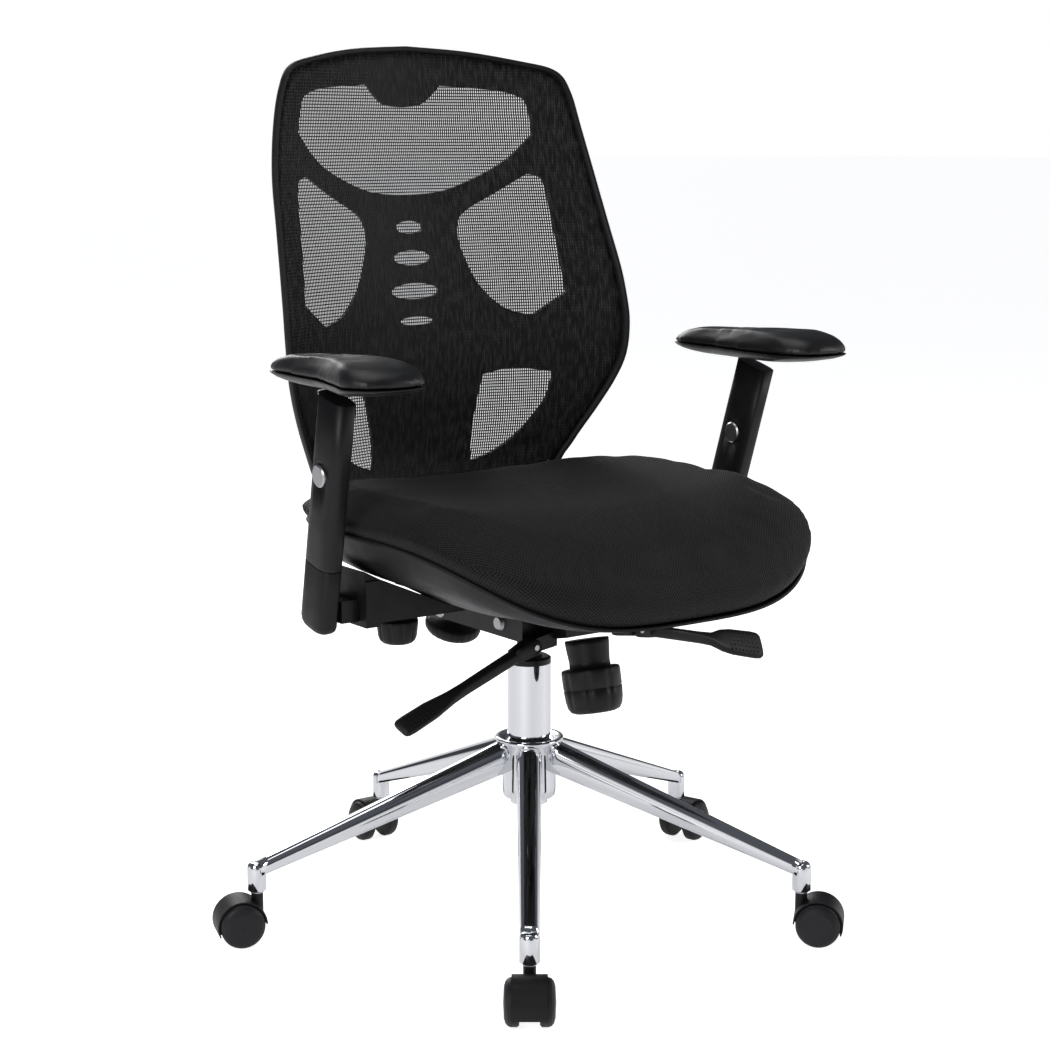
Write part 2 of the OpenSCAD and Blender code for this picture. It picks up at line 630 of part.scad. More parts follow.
// The mesh follows the rim and stands forward of the shell in the middle
mesh_edge = 4;     // in front of the shell at the rim
mesh_stand = 26;   // further forward in the middle
mesh_mid = back_z + 0.48 * back_h;
function mesh_ring(edge, f, back) = [for (q = edge)
    let (x = f * q.x, z = lerp(mesh_mid, q.y, f))
    [x, axis_y + sqrt(pow(shell_r((z - back_z) / back_h), 2) - x * x) - mesh_edge
        - mesh_stand * (1 - pow(f, 2.5)) + (back ? mesh_t : 0), z]];
function mesh_centre(back) = [[0, mesh_ring([[1, 1]], 0, back)[0].y, mesh_mid]];
module back_mesh() {
    outline = back_outline(rim_w - rim_lap);
    edge = [for (i = [len(outline) - 1:-1:0]) outline[i]];
    steps = [0.14, 0.28, 0.42, 0.56, 0.69, 0.8, 0.9, 1];
    m = len(steps) - 1;
    color([0.3, 0.3, 0.31]) ring_solid(mesh_centre(false),
        concat([for (f = steps) mesh_ring(edge, f, false)],
               [for (k = [m:-1:0]) mesh_ring(edge, steps[k], true)]),
        mesh_centre(true));
}
upright_y = axis_y + shell_low_r + shell_t + 5;    // front face of the upright bar
upright_t = 16;
carriage_z = back_z + 70;
carriage_h = 118;
carriage_w = upright_w + 14;
function bar_path() = [[back_pivot_y - 4, back_pivot_z], [105, floor_z - 2], [135, floor_z - 2],
    [196, floor_z + 21], [upright_y + upright_t / 2 - 6, floor_z + 52],
    [upright_y + upright_t / 2, floor_z + 92]];
bar_half = 6;
module back_bar() {
    p = bar_path();
    color([0.14, 0.14, 0.15]) difference() {
        union() {
            for (i = [0:len(p) - 2]) extrude_x(upright_w) hull() {
                translate(p[i]) circle(r = bar_half, $fn = 24);
                translate(p[i + 1]) circle(r = bar_half, $fn = 24);
            }
            translate([-upright_w / 2, upright_y, floor_z + 88])
                cube([upright_w, upright_t, carriage_z + carriage_h - 8 - floor_z - 88]);
            translate([0, back_pivot_y, back_pivot_z]) rotate([0, 90, 0])
                cylinder(d = pivot_d + 8, h = housing_w - 2 * housing_t - 2, center = true);
        }
        translate([0, back_pivot_y, back_pivot_z]) rotate([0, 90, 0])
            cylinder(d = pivot_d + 2 * fit, h = 300, center = true);
        at_back_knob() cylinder(d = 8, h = 60, center = true);
    }
}
bar_slope = atan2(23, 61);
module at_back_knob() {
    translate([0, 142, floor_z - 2 + 7 * tan(bar_slope)]) rotate([bar_slope, 0, 0]) children();
}
module back_knob() {
    color([0.1, 0.1, 0.1]) at_back_knob() {
        translate([0, 0, -30]) cylinder(d = 18, h = 30 - bar_half - gap - 2);
        rotate_extrude($fn = 64)
            polygon([[0, -46], [26, -46], [33, -42], [34, -37], [33, -32], [28, -29], [0, -29]]);
        translate([0, 0, -32]) cylinder(d = 8 - 2 * fit, h = 32 + bar_half);
    }
}
module back_carriage() {
    side = 6;
    back_y = upright_y + upright_t;
    color([0.12, 0.12, 0.12]) difference() {
        translate([-carriage_w / 2, upright_y - 5, carriage_z])
            cube([carriage_w, upright_t + 5 + side, carriage_h]);
        translate([-upright_w / 2 - gap, upright_y - gap, carriage_z - 1])
            cube([upright_w + 2 * gap, upright_t + 2 * gap, carriage_h - 3]);
        translate([0, axis_y, 0]) cylinder(r = shell_low_r + shell_t + 0.2, h = 900, $fn = 96);
    }
}

// ---- arms ----
lean = 15;
splay = 3;
post_x = seat_w / 2 + arm_clear + post_w / 2;
post_y = 7;
housing_low = pan_z - 9;               // underside of an arm housing
bar_z = housing_low + 3.4;             // underside of the flat bar
arm_out = post_x - 34;                 // outer end of an arm housing
arm_in = plate_half + 1;               // inner end, beside the seat plate
slot_in = arm_out - 94;                // inner end of the bar's slot
knob_x = arm_out - 62;
arm_bolt_d = 10;
module arm_side(s) { mirror([s > 0 ? 0 : 1, 0, 0]) children(); }
module at_arm() { translate([post_x, post_y, bar_z]) rotate([lean, splay, 0]) children(); }
module arm_housing(s) {
    flat = pan_floor * seat_w / 2 + 3;
    knee = 0.65 * seat_w / 2;
    far = 0.85 * seat_w / 2;
    color([0.16, 0.16, 0.17]) arm_side(s) difference() {
        union() {
            extrude_y(66) polygon([[arm_in, housing_low], [arm_out, housing_low],
                [arm_out, pan_z + 0.5 * pan_rim + 6], [far, pan_z + 0.5 * pan_rim - 4],
                [knee, pan_z + 0.23 * pan_rim - 3.5], [flat, pan_z], [arm_in, pan_z]]);
            translate([arm_out - 18, -36, housing_low - 3]) cube([18, 72, 50]);
        }
        translate([slot_in, -bar_w / 2 - gap, bar_z - gap])
            cube([200, bar_w + 2 * gap, bar_t + 2 * gap]);
        translate([knob_x, 0, housing_low - 5]) cylinder(d = arm_bolt_d + 2 * fit, h = 26);
    }
}
module arm_bracket(s) {
    inner = slot_in + 6;
    color([0.1, 0.1, 0.1]) arm_side(s) {
        difference() {
            translate([inner, -bar_w / 2, bar_z]) cube([post_x - post_w / 2 - inner, bar_w, bar_t]);
            translate([knob_x, 0, bar_z - 1]) linear_extrude(bar_t + 2) hull() {
                circle(d = arm_bolt_d + 2);
                translate([-arm_slide - 20, 0]) circle(d = arm_bolt_d + 2);
            }
        }
        translate([arm_out + 1, -bar_w / 2, bar_z - 1])
            cube([post_x - post_w / 2 - arm_out - 1, bar_w, bar_t + 16]);
    }
}
module arm_knob(s) {
    color([0.12, 0.12, 0.12]) arm_side(s) translate([knob_x, 0, 0]) {
        translate([0, 0, housing_low - 33]) rotate_extrude($fn = 64)
            polygon([[0, 0], [arm_knob_d / 2 - 8, 0], [arm_knob_d / 2 - 3, 3],
                     [arm_knob_d / 2 - 1.5, 8], [arm_knob_d / 2, 26], [arm_knob_d / 2 - 3, 26],
                     [arm_knob_d / 2 - 3, 32.6], [0, 32.6]]);
        translate([0, 0, housing_low - 10]) cylinder(d = arm_bolt_d, h = 30);
    }
}
// Cross-section of a post: flat inside, rounded outside
module post_section(w, d) {
    polygon(concat([[-w / 2, -d / 2 + 2], [-w / 2 + 2, -d / 2]],
        [for (a = [-90:15:90]) [w / 2 - 12 + 12 * cos(a), (d / 2 - 17) * sign(a) + 17 * sin(a)]],
        [[-w / 2 + 2, d / 2], [-w / 2, d / 2 - 2]]));
}
tongue_w = 11;
tongue_d = post_d - 16;
module arm_post(s) {
    low = 9;
    color([0.15, 0.15, 0.16]) arm_side(s) {
        difference() {
            at_arm() union() {
                linear_extrude(joint_h) post_section(post_w, post_d);
                intersection() {
                    translate([0, 0, -low]) linear_extrude(low + 1) post_section(post_w, post_d);
                    rotate([90, 0, 0]) linear_extrude(post_d + 2, center = true)
                        polygon([for (a = [180:15:360]) [post_w / 2 * cos(a), low * sin(a)]]);
                }
                translate([-tongue_w / 2, -tongue_d / 2, joint_h - 1])
                    cube([tongue_w, tongue_d, sleeve_h - 36]);
            }
            translate([post_x - post_w / 2 + eps - 100, -60, bar_z - 30]) cube([100, 120, 100]);
        }
    }
}
module arm_sleeve(s) {
    color([0.15, 0.15, 0.16]) arm_side(s) at_arm() translate([0, 0, joint_h + gap]) difference() {
        linear_extrude(sleeve_h) post_section(post_w, post_d);
        translate([-tongue_w / 2 - gap, -tongue_d / 2 - gap, -1])
            cube([tongue_w + 2 * gap, tongue_d + 2 * gap, sleeve_h - 5]);
        button_place(s) translate([0, 0, -tongue_w]) cylinder(d = button_d + 0.6, h = tongue_w + 20);
    }
}
button_h = 103;                        // button above the sleeve's lower end
// The button faces the sitter's right on both arms
module button_place(s) {
    translate([s > 0 ? -post_w / 2 : post_w / 2, 0, button_h]) rotate([0, s > 0 ? -90 : 90, 0])
        children();
}
module arm_button(s) {
    color("silver") arm_side(s) at_arm() translate([0, 0, joint_h + gap]) button_place(s) {
        translate([0, 0, -3.4]) cylinder(d = button_d, h = 5.4);
        translate([0, 0, 2]) cylinder(d1 = button_d, d2 = button_d - 3, h = 1.4);
    }
}
pad_ref_w = 94;    // width and length that the outline's points are given for
pad_ref_l = 264;
// Arm pad outline from above: x outwards, y forwards, from the sleeve's top
function pad_outline(grow) = closed_curve([for (p = [[-4, -132], [22, -120], [30, -60], [33, 0],
    [48, 60], [56, 98], [40, 124], [8, 132], [-22, 124], [-38, 92], [-36, 30], [-30, -40], [-26, -110]])
    [p.x * pad_w / pad_ref_w + grow * sign(p.x), p.y * pad_l / pad_ref_l + grow * sign(p.y)]], 4);
pad_x = post_x + (joint_h + sleeve_h) * sin(splay) - 9;
pad_y = post_y - (joint_h + sleeve_h) * sin(lean) * cos(splay) + 1;
pad_z = bar_z + (joint_h + sleeve_h) * cos(lean) + 9;
pad_base_t = 9;
module at_pad() { translate([pad_x, pad_y, pad_z]) children(); }
module arm_pad_base(s) {
    color([0.12, 0.12, 0.13]) arm_side(s) {
        at_pad() mirror([0, 1, 0]) linear_extrude(pad_base_t) polygon(pad_outline(-3));
        intersection() {
            at_arm() translate([0, 0, joint_h + gap + sleeve_h])
                linear_extrude(40) post_section(post_w - 4, post_d - 6);
            translate([0, -200, pad_z - 30]) cube([500, 400, 30 + 1]);
        }
    }
}
module arm_pad(s) {
    color([0.1, 0.1, 0.1]) arm_side(s) at_pad() translate([0, 0, pad_base_t]) mirror([0, 1, 0]) {
        linear_extrude(pad_t * 0.7) polygon(pad_outline(0));
        translate([0, 0, pad_t * 0.7 - eps]) linear_extrude(pad_t * 0.3) polygon(pad_outline(-4));
    }
}

star_base();
caster_stems();
for (i = [1:legs]) {
    caster_hood(i - 1);
    caster_axle(i - 1);
    wheel(i - 1, 1);
    wheel(i - 1, -1);
}
column_tube();
column_cap();
guide_bush();
thrust_bearing();
piston_rod();
gas_cylinder();
mechanism_housing();
pivot_pins();
tension_knob();
tension_spring();
height_lever();
tilt_lever();
seat_plate();
seat_pan();
seat_cushion();
back_bar();
back_knob();
back_carriage();
back_shell();
back_rim();
back_mesh();
for (k = [0, 1]) {
    s = 1 - 2 * k;
    arm_housing(s);
    arm_bracket(s);
    arm_knob(s);
    arm_post(s);
    arm_sleeve(s);
    arm_button(s);
    arm_pad_base(s);
    arm_pad(s);
}
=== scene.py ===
import bpy
import bmesh
import json
import math
from mathutils import Matrix, Vector


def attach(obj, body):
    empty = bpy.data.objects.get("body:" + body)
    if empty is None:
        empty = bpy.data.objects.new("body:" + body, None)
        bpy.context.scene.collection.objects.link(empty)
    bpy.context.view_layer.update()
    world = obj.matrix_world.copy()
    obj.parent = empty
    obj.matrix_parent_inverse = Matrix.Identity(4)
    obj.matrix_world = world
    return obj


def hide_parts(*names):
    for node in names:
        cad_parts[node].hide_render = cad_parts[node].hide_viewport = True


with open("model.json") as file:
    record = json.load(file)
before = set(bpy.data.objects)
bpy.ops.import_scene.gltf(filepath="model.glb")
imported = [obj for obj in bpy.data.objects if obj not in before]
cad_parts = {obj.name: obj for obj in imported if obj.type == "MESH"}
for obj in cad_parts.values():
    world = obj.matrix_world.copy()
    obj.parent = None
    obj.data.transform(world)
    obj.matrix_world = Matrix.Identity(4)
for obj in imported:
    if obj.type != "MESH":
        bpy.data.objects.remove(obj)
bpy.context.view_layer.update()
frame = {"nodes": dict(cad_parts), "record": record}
nodes = frame["nodes"]
print("frame loaded:", len(nodes), "nodes")


# small helpers
def mix(a, b, t):
    return a + (b - a) * t


def sinD(angle):
    return math.sin(math.radians(angle))


def cosD(angle):
    return math.cos(math.radians(angle))


def curvePoint(a, b, c, d, t):
    return 0.5 * (2 * b + (c - a) * t + (2 * a - 5 * b + 4 * c - d) * t * t
                  + (3 * b - a - 3 * c + d) * t * t * t)


def closedCurve(points, steps):
    count = len(points)
    out = []
    for i in range(count):
        near = [points[(i + k - 1) % count] for k in range(4)]
        for s in range(steps):
            out.append(tuple(curvePoint(*[p[axis] for p in near], s / steps) for axis in range(2)))
    return out


def openCurve(points, steps):
    last = len(points) - 1
    out = []
    for i in range(last):
        near = [points[max(i - 1, 0)], points[i], points[i + 1], points[min(i + 2, last)]]
        for s in range(steps):
            out.append(tuple(curvePoint(*[p[axis] for p in near], s / steps) for axis in range(2)))
    return out + [tuple(points[-1])]


def readCurve(curve, x):
    for (x0, y0), (x1, y1) in zip(curve, curve[1:]):
        if x0 <= x < x1:
            return mix(y0, y1, (x - x0) / (x1 - x0))
    return curve[0][1] if x < curve[0][0] else curve[-1][1]


def addPiece(name, points, faces, smooth=True):
    mesh = bpy.data.meshes.new(name)
    mesh.from_pydata([tuple(p) for p in points], [], faces)
    mesh.update()
    piece = bpy.data.objects.new(name, mesh)
    bpy.context.scene.collection.objects.link(piece)
    work = bmesh.new()
    work.from_mesh(mesh)
    bmesh.ops.remove_doubles(work, verts=work.verts, dist=1e-6)
    bmesh.ops.recalc_face_normals(work, faces=work.faces)
    work.to_mesh(mesh)
    work.free()
    for face in mesh.polygons:
        face.use_smooth = smooth
    return piece


def loft(rings, closeStart=True, closeEnd=True, loop=False):
    size = len(rings[0])
    points = [p for ring in rings for p in ring]
    faces = []
    rows = len(rings) if loop else len(rings) - 1
    for r in range(rows):
        nextRow = (r + 1) % len(rings)
        for i in range(size):
            j = (i + 1) % size
            faces.append((r * size + i, r * size + j, nextRow * size + j, nextRow * size + i))
    if not loop and closeStart:
        faces.append(tuple(range(size)))
    if not loop and closeEnd:
        faces.append(tuple((len(rings) - 1) * size + i for i in range(size)))
    return points, faces


# finishes
def startMaterial(name, colour, roughness, metallic=0.0, gloss=0.5):
    material = bpy.data.materials.new(name)
    material.use_nodes = True
    tree = material.node_tree
    shader = tree.nodes["Principled BSDF"]
    shader.inputs["Base Color"].default_value = (*colour, 1)
    shader.inputs["Roughness"].default_value = roughness
    shader.inputs["Metallic"].default_value = metallic
    shader.inputs["Specular IOR Level"].default_value = gloss
    return material, tree, shader


def addNode(tree, kind, **values):
    node = tree.nodes.new(kind)
    for key, value in values.items():
        if hasattr(node, key):
            setattr(node, key, value)
        else:
            node.inputs[key].default_value = value
    return node


def mathNode(tree, operation, a, b=None):
    node = addNode(tree, "ShaderNodeMath", operation=operation)
    for slot, value in enumerate((a, b)):
        if value is None:
            continue
        if isinstance(value, (int, float)):
            node.inputs[slot].default_value = value
        else:
            tree.links.new(value, node.inputs[slot])
    return node.outputs[0]


def objectNoise(tree, scale, detail=3.0, stretch=None):
    where = addNode(tree, "ShaderNodeTexCoord").outputs["Object"]
    if stretch:
        mapping = addNode(tree, "ShaderNodeMapping")
        mapping.inputs["Scale"].default_value = stretch
        tree.links.new(where, mapping.inputs["Vector"])
        where = mapping.outputs["Vector"]
    noise = addNode(tree, "ShaderNodeTexNoise", Scale=scale, Detail=detail)
    tree.links.new(where, noise.inputs["Vector"])
    return noise.outputs["Fac"]


def spread(tree, source, low, high, outLow, outHigh):
    node = addNode(tree, "ShaderNodeMapRange")
    for key, value in (("From Min", low), ("From Max", high), ("To Min", outLow), ("To Max", outHigh)):
        node.inputs[key].default_value = value
    tree.links.new(source, node.inputs["Value"])
    return node.outputs["Result"]


def tint(tree, source, dark, light):
    node = addNode(tree, "ShaderNodeMix", data_type="RGBA")
    node.inputs[6].default_value = (*dark, 1)
    node.inputs[7].default_value = (*light, 1)
    tree.links.new(source, node.inputs[0])
    return node.outputs[2]


def addBump(tree, shader, height, strength, distance):
    bump = addNode(tree, "ShaderNodeBump")
    bump.inputs["Strength"].default_value = strength
    bump.inputs["Distance"].default_value = distance
    tree.links.new(height, bump.inputs["Height"])
    tree.links.new(bump.outputs["Normal"], shader.inputs["Normal"])


def mouldedPlastic(name, dark, light, rough, grain, grainDepth, gloss=0.3):
    material, tree, shader = startMaterial(name, light, rough[0], 0.0, gloss)
    patches = objectNoise(tree, 14, 4)
    colour = tint(tree, spread(tree, patches, 0.3, 0.7, 0, 1), dark, light)
    tree.links.new(colour, shader.inputs["Base Color"])
    tree.links.new(spread(tree, objectNoise(tree, 38, 5), 0.3, 0.7, *rough), shader.inputs["Roughness"])
    addBump(tree, shader, objectNoise(tree, grain, 2), 0.35, grainDepth)
    return material


def polishedMetal(name, colour, rough, stretch=None, scratch=0.00002):
    material, tree, shader = startMaterial(name, colour, rough[0], 1.0)
    smudge = spread(tree, objectNoise(tree, 22, 6), 0.35, 0.7, *rough)
    tree.links.new(smudge, shader.inputs["Roughness"])
    warm = tuple(c * 0.9 for c in colour)
    tree.links.new(tint(tree, objectNoise(tree, 7, 2), warm, colour), shader.inputs["Base Color"])
    addBump(tree, shader, objectNoise(tree, 120, 3, stretch), 0.12, scratch)
    return material


def planePattern(tree, a, b, pitchA, pitchB):  # diamond rows of round holes, 1 in a hole and 0 on the yarn
    phaseA = mathNode(tree, "MULTIPLY", a, math.pi / pitchA)
    phaseB = mathNode(tree, "MULTIPLY", b, math.pi / pitchB)
    first = mathNode(tree, "SINE", mathNode(tree, "ADD", phaseA, phaseB))
    second = mathNode(tree, "SINE", mathNode(tree, "SUBTRACT", phaseA, phaseB))
    return mathNode(tree, "MULTIPLY", mathNode(tree, "ABSOLUTE", first), mathNode(tree, "ABSOLUTE", second))


# hole is the colour painted into the knit's holes: near-black painted shade, darker than the yarn
spacerKnit = {"pitchAcross": 0.0036, "pitchAlong": 0.0036, "yarn": (0.015, 0.015, 0.016),
              "hole": (0.0012, 0.0012, 0.0014)}


def spacerFabric():
    material, tree, shader = startMaterial("seatSpacerFabric", spacerKnit["yarn"], 0.8, 0.0, 0.18)
    where = addNode(tree, "ShaderNodeSeparateXYZ")
    tree.links.new(addNode(tree, "ShaderNodeTexCoord").outputs["Object"], where.inputs[0])
    x, y, z = where.outputs
    facing = addNode(tree, "ShaderNodeSeparateXYZ")
    tree.links.new(addNode(tree, "ShaderNodeTexCoord").outputs["Normal"], facing.inputs[0])
    weights = [mathNode(tree, "POWER", mathNode(tree, "ABSOLUTE", side), 6.0) for side in facing.outputs]
    total = mathNode(tree, "ADD", mathNode(tree, "ADD", weights[0], weights[1]), weights[2])
    pitches = (spacerKnit["pitchAcross"], spacerKnit["pitchAlong"])
    faces = [planePattern(tree, a, b, *pitches) for a, b in ((y, z), (x, z), (x, y))]
    sums = [mathNode(tree, "MULTIPLY", w, f) for w, f in zip(weights, faces)]
    summed = mathNode(tree, "ADD", mathNode(tree, "ADD", sums[0], sums[1]), sums[2])
    knit = mathNode(tree, "DIVIDE", summed, total)
    hollow = spread(tree, knit, 0.35, 0.75, 0, 1)
    wear = spread(tree, objectNoise(tree, 9, 4), 0.3, 0.75, 0.0, 0.35)
    yarn = tint(tree, wear, spacerKnit["yarn"], tuple(c * 1.7 for c in spacerKnit["yarn"]))
    # mix the yarn with painted shade where the holes are
    blend = addNode(tree, "ShaderNodeMix", data_type="RGBA")
    tree.links.new(hollow, blend.inputs[0])
    tree.links.new(yarn, blend.inputs[6])
    blend.inputs[7].default_value = (*spacerKnit["hole"], 1)
    tree.links.new(blend.outputs[2], shader.inputs["Base Color"])
    shader.inputs["Sheen Weight"].default_value = 0.05
    shader.inputs["Sheen Roughness"].default_value = 0.4
    tree.links.new(spread(tree, hollow, 0, 1, 0.62, 0.95), shader.inputs["Roughness"])
    addBump(tree, shader, mathNode(tree, "MULTIPLY", hollow, -1.0), 0.8, 0.0009)
    return material


netWeave = {"pitchAcross": 0.0027, "pitchUp": 0.0036, "slotAcross": 0.46, "slotUp": 0.66,
            "colour": (0.006, 0.006, 0.0065), "paler": (0.034, 0.034, 0.036)}


def netFabric():  # sheer weave: upright slots between yarns, open to what is behind
    material, tree, shader = startMaterial("backNetFabric", netWeave["colour"], 0.5, 0.0, 0.25)
    cloth = addNode(tree, "ShaderNodeUVMap", uv_map="cloth").outputs[0]
    where = addNode(tree, "ShaderNodeSeparateXYZ")
    tree.links.new(cloth, where.inputs[0])
    sway = addNode(tree, "ShaderNodeTexNoise", Scale=1.0, Detail=1.0)
    long = addNode(tree, "ShaderNodeMapping")
    long.inputs["Scale"].default_value = (34, 90, 1)
    tree.links.new(cloth, long.inputs["Vector"])
    tree.links.new(long.outputs["Vector"], sway.inputs["Vector"])
    bent = mathNode(tree, "ADD", where.outputs[0], spread(tree, sway.outputs["Fac"], 0, 1, -0.0006, 0.0006))
    u = mathNode(tree, "DIVIDE", bent, netWeave["pitchAcross"])
    v = mathNode(tree, "DIVIDE", where.outputs[1], netWeave["pitchUp"])
    across = mathNode(tree, "ABSOLUTE", mathNode(tree, "SUBTRACT", mathNode(tree, "FRACT", u), 0.5))
    up = mathNode(tree, "ABSOLUTE", mathNode(tree, "SUBTRACT", mathNode(tree, "FRACT", v), 0.5))
    halfAcross, halfUp = netWeave["slotAcross"] / 2, netWeave["slotUp"] / 2
    inside = mathNode(tree, "MULTIPLY", spread(tree, across, halfAcross - 0.05, halfAcross + 0.05, 1, 0),
                      spread(tree, up, halfUp - 0.04, halfUp + 0.04, 1, 0))
    cover = spread(tree, inside, 0, 1, 1, 0.0)
    tree.links.new(cover, shader.inputs["Alpha"])
    dashes = addNode(tree, "ShaderNodeMapping")  # long stitches that ripple down the cloth, painted paler than the weave
    dashes.inputs["Scale"].default_value = (260, 62, 1)
    tree.links.new(cloth, dashes.inputs["Vector"])
    ripple = addNode(tree, "ShaderNodeTexNoise", Scale=1.0, Detail=2.0)
    tree.links.new(dashes.outputs["Vector"], ripple.inputs["Vector"])
    stitch = spread(tree, ripple.outputs["Fac"], 0.42, 0.66, 0, 1)
    tree.links.new(tint(tree, stitch, netWeave["colour"], netWeave["paler"]), shader.inputs["Base Color"])
    tree.links.new(spread(tree, ripple.outputs["Fac"], 0.3, 0.7, 0.4, 0.6), shader.inputs["Roughness"])
    addBump(tree, shader, mathNode(tree, "ADD", cover, stitch), 0.7, 0.0008)
    return material


chromeFinish = polishedMetal("polishedChrome", (0.82, 0.83, 0.86), (0.03, 0.09))
satinFinish = polishedMetal("satinSteel", (0.5, 0.5, 0.51), (0.24, 0.36), (1, 1, 14), 0.00006)
paintFinish = mouldedPlastic("blackPowderCoat", (0.003, 0.003, 0.0033), (0.006, 0.006, 0.0065), (0.28, 0.4),
                             700, 0.00012)
nylonFinish = mouldedPlastic("blackNylon", (0.0045, 0.0045, 0.005), (0.0085, 0.0085, 0.0092), (0.38, 0.52),
                             900, 0.00012)
wheelFinish = mouldedPlastic("wheelNylon", (0.011, 0.011, 0.0125), (0.018, 0.018, 0.0205), (0.36, 0.5),
                             620, 0.0001)
panFinish = mouldedPlastic("glossyShell", (0.008, 0.008, 0.009), (0.0125, 0.0125, 0.0135), (0.42, 0.52),
                           420, 0.00006, 0.22)
padFinish = mouldedPlastic("padSkin", (0.006, 0.006, 0.0065), (0.0115, 0.0115, 0.0125), (0.34, 0.46),
                           520, 0.0003, 0.4)
bushFinish = mouldedPlastic("whiteAcetal", (0.62, 0.61, 0.57), (0.7, 0.69, 0.65), (0.4, 0.5), 300, 0.00005)
seatFinish = spacerFabric()
netFinish = netFabric()
slotFinish = {"chrome": chromeFinish, "satin_steel": satinFinish, "painted_steel": paintFinish,
              "black_nylon": nylonFinish, "wheel_grey": wheelFinish, "gloss_shell": panFinish,
              "seat_mesh": seatFinish, "back_mesh": netFinish, "pad_skin": padFinish,
              "bush_white": bushFinish}
for part in frame["record"]["subparts"]:
    if part["node"] in nodes:
        skin = nodes[part["node"]].data.materials
        skin.clear()
        skin.append(slotFinish[part["material_slot"]])
print("finishes made:", len(slotFinish))


def dress(piece, material, body):
    piece.data.materials.clear()
    piece.data.materials.append(material)
    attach(piece, body)


# seat
seat = {"width": 0.520, "depth": 0.485, "panFloor": 0.3865, "panRim": 0.086, "panWall": 0.003,
        "bolster": 0.138, "liner": 0.001, "voxel": 0.006, "pressure": 4, "puffCap": 0.009}
cushionSide = ((0.965, 0), (0.985, 0.12), (0.997, 0.25), (1, 0.4), (0.995, 0.56), (0.978, 0.72), (0.95, 0.86),
               (0.905, 0.97))
seatFront = seat["depth"] * 0.62
seatMid = seat["depth"] / 2 - seatFront


def seatEdge(angle, share):
    c, s = cosD(angle), sinD(angle)
    power = 2 / (3.0 if s < 0 else 3.6)
    x = share * seat["width"] / 2 * math.copysign(abs(c) ** power, c)
    y = seatMid + share * seat["depth"] / 2 * math.copysign(abs(s) ** power, s)
    return x, y


def rimRise(angle):
    side = abs(seatEdge(angle, 1)[0]) / (seat["width"] / 2)
    if sinD(angle) < 0:
        return mix(0.008, seat["panRim"], side ** 3.4)
    return seat["panRim"] - 0.008 * (1 - side ** 2)


panCurve = openCurve([(0, 0), (0.44, 0.0), (0.52, 0.02), (0.65, 0.22), (0.8, 0.42), (0.9, 0.64),
                      (0.965, 1)], 6)


def panRing(share, inward, lift, count):
    ring = []
    for i in range(count):
        angle = 360 * i / count
        x, y = seatEdge(angle, share - inward)
        ring.append((x, y, seat["panFloor"] + lift + readCurve(panCurve, share) * rimRise(angle)))
    return ring


def cushionTop(x, y):
    u = abs(x) / (seat["width"] / 2)
    v = max(0, (-y - 0.27 * seat["depth"]) / (0.35 * seat["depth"]))
    w = max(0, (y - 0.2 * seat["depth"]) / (0.18 * seat["depth"]))
    rise = 27 * u ** 2.4 * (1 - 0.5 * min(1, v)) - 38 * v ** 1.8 + 8 * min(1, w)
    dish = 6 * math.exp(-(x / 0.110) ** 2 - ((y - 0.020) / 0.120) ** 2)
    return seat["panFloor"] + seat["bolster"] + (rise - dish - 32) / 1000


def buildPan():
    count = 160
    shares = [0.12, 0.3, 0.44, 0.5, 0.56, 0.62, 0.68, 0.74, 0.8, 0.85, 0.89, 0.92, 0.945, 0.958, 0.965]
    rings = [panRing(f, 0, 0.0002, count) for f in shares]
    rings += [panRing(0.965, 0.004, 0.0022, count)]
    rings += [panRing(f, 0.012, seat["panWall"], count) for f in reversed(shares)]
    pan = addPiece("seatPan", *loft(rings))
    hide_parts("seat_pan")
    dress(pan, panFinish, "seat")


def cushionRings(count, shrink):
    under = (0.15, 0.3, 0.46, 0.6, 0.72, 0.84, 0.93)
    rings = [panRing(f, 0.018, seat["panWall"] + seat["liner"], count) for f in under]
    for share, t in cushionSide:
        ring = []
        for i in range(count):
            angle = 360 * i / count
            x, y = seatEdge(angle, share * shrink)
            low = seat["panFloor"] + seat["panWall"] + rimRise(angle) + seat["liner"]
            ring.append((x, y, mix(low, cushionTop(*seatEdge(angle, 0.9)) - 0.002, t)))
        rings.append(ring)
    for share in (0.86, 0.8, 0.72, 0.62, 0.5, 0.38, 0.26, 0.14, 0.05):
        ring = [seatEdge(360 * i / count, share) for i in range(count)]
        rings.append([(x, y, cushionTop(x, y) - 0.002) for x, y in ring])
    return rings


def applied(piece):
    shown = piece.evaluated_get(bpy.context.evaluated_depsgraph_get())
    fresh = bpy.data.meshes.new_from_object(shown)
    piece.modifiers.clear()
    piece.data = fresh


def puffUp(piece, voxel, pressure, cap, floorShare):
    remesh = piece.modifiers.new("Remesh", "REMESH")
    remesh.mode = "VOXEL"
    remesh.voxel_size = voxel
    applied(piece)
    before = [v.co.copy() for v in piece.data.vertices]
    lean = [v.normal.z for v in piece.data.vertices]
    cloth = piece.modifiers.new("Cloth", "CLOTH")
    cloth.settings.use_pressure = True
    cloth.settings.uniform_pressure_force = pressure
    cloth.settings.effector_weights.gravity = 0
    cloth.settings.quality = 5
    cloth.point_cache.frame_end = 20
    for step in range(1, 21):
        bpy.context.scene.frame_set(step)
    applied(piece)
    bpy.context.scene.frame_set(1)
    for vertex, start, up in zip(piece.data.vertices, before, lean):
        moved = vertex.co - start
        if moved.length > cap:
            moved *= cap / moved.length
        hold = min(max((up + floorShare) / 0.5, 0), 1)  # what rests on the pan stays where it is
        vertex.co = start + moved * hold
    for face in piece.data.polygons:
        face.use_smooth = True
    finer = piece.modifiers.new("Smooth", "SUBSURF")
    finer.levels = finer.render_levels = 1
    print(piece.name, "padded:", len(piece.data.vertices), "points")


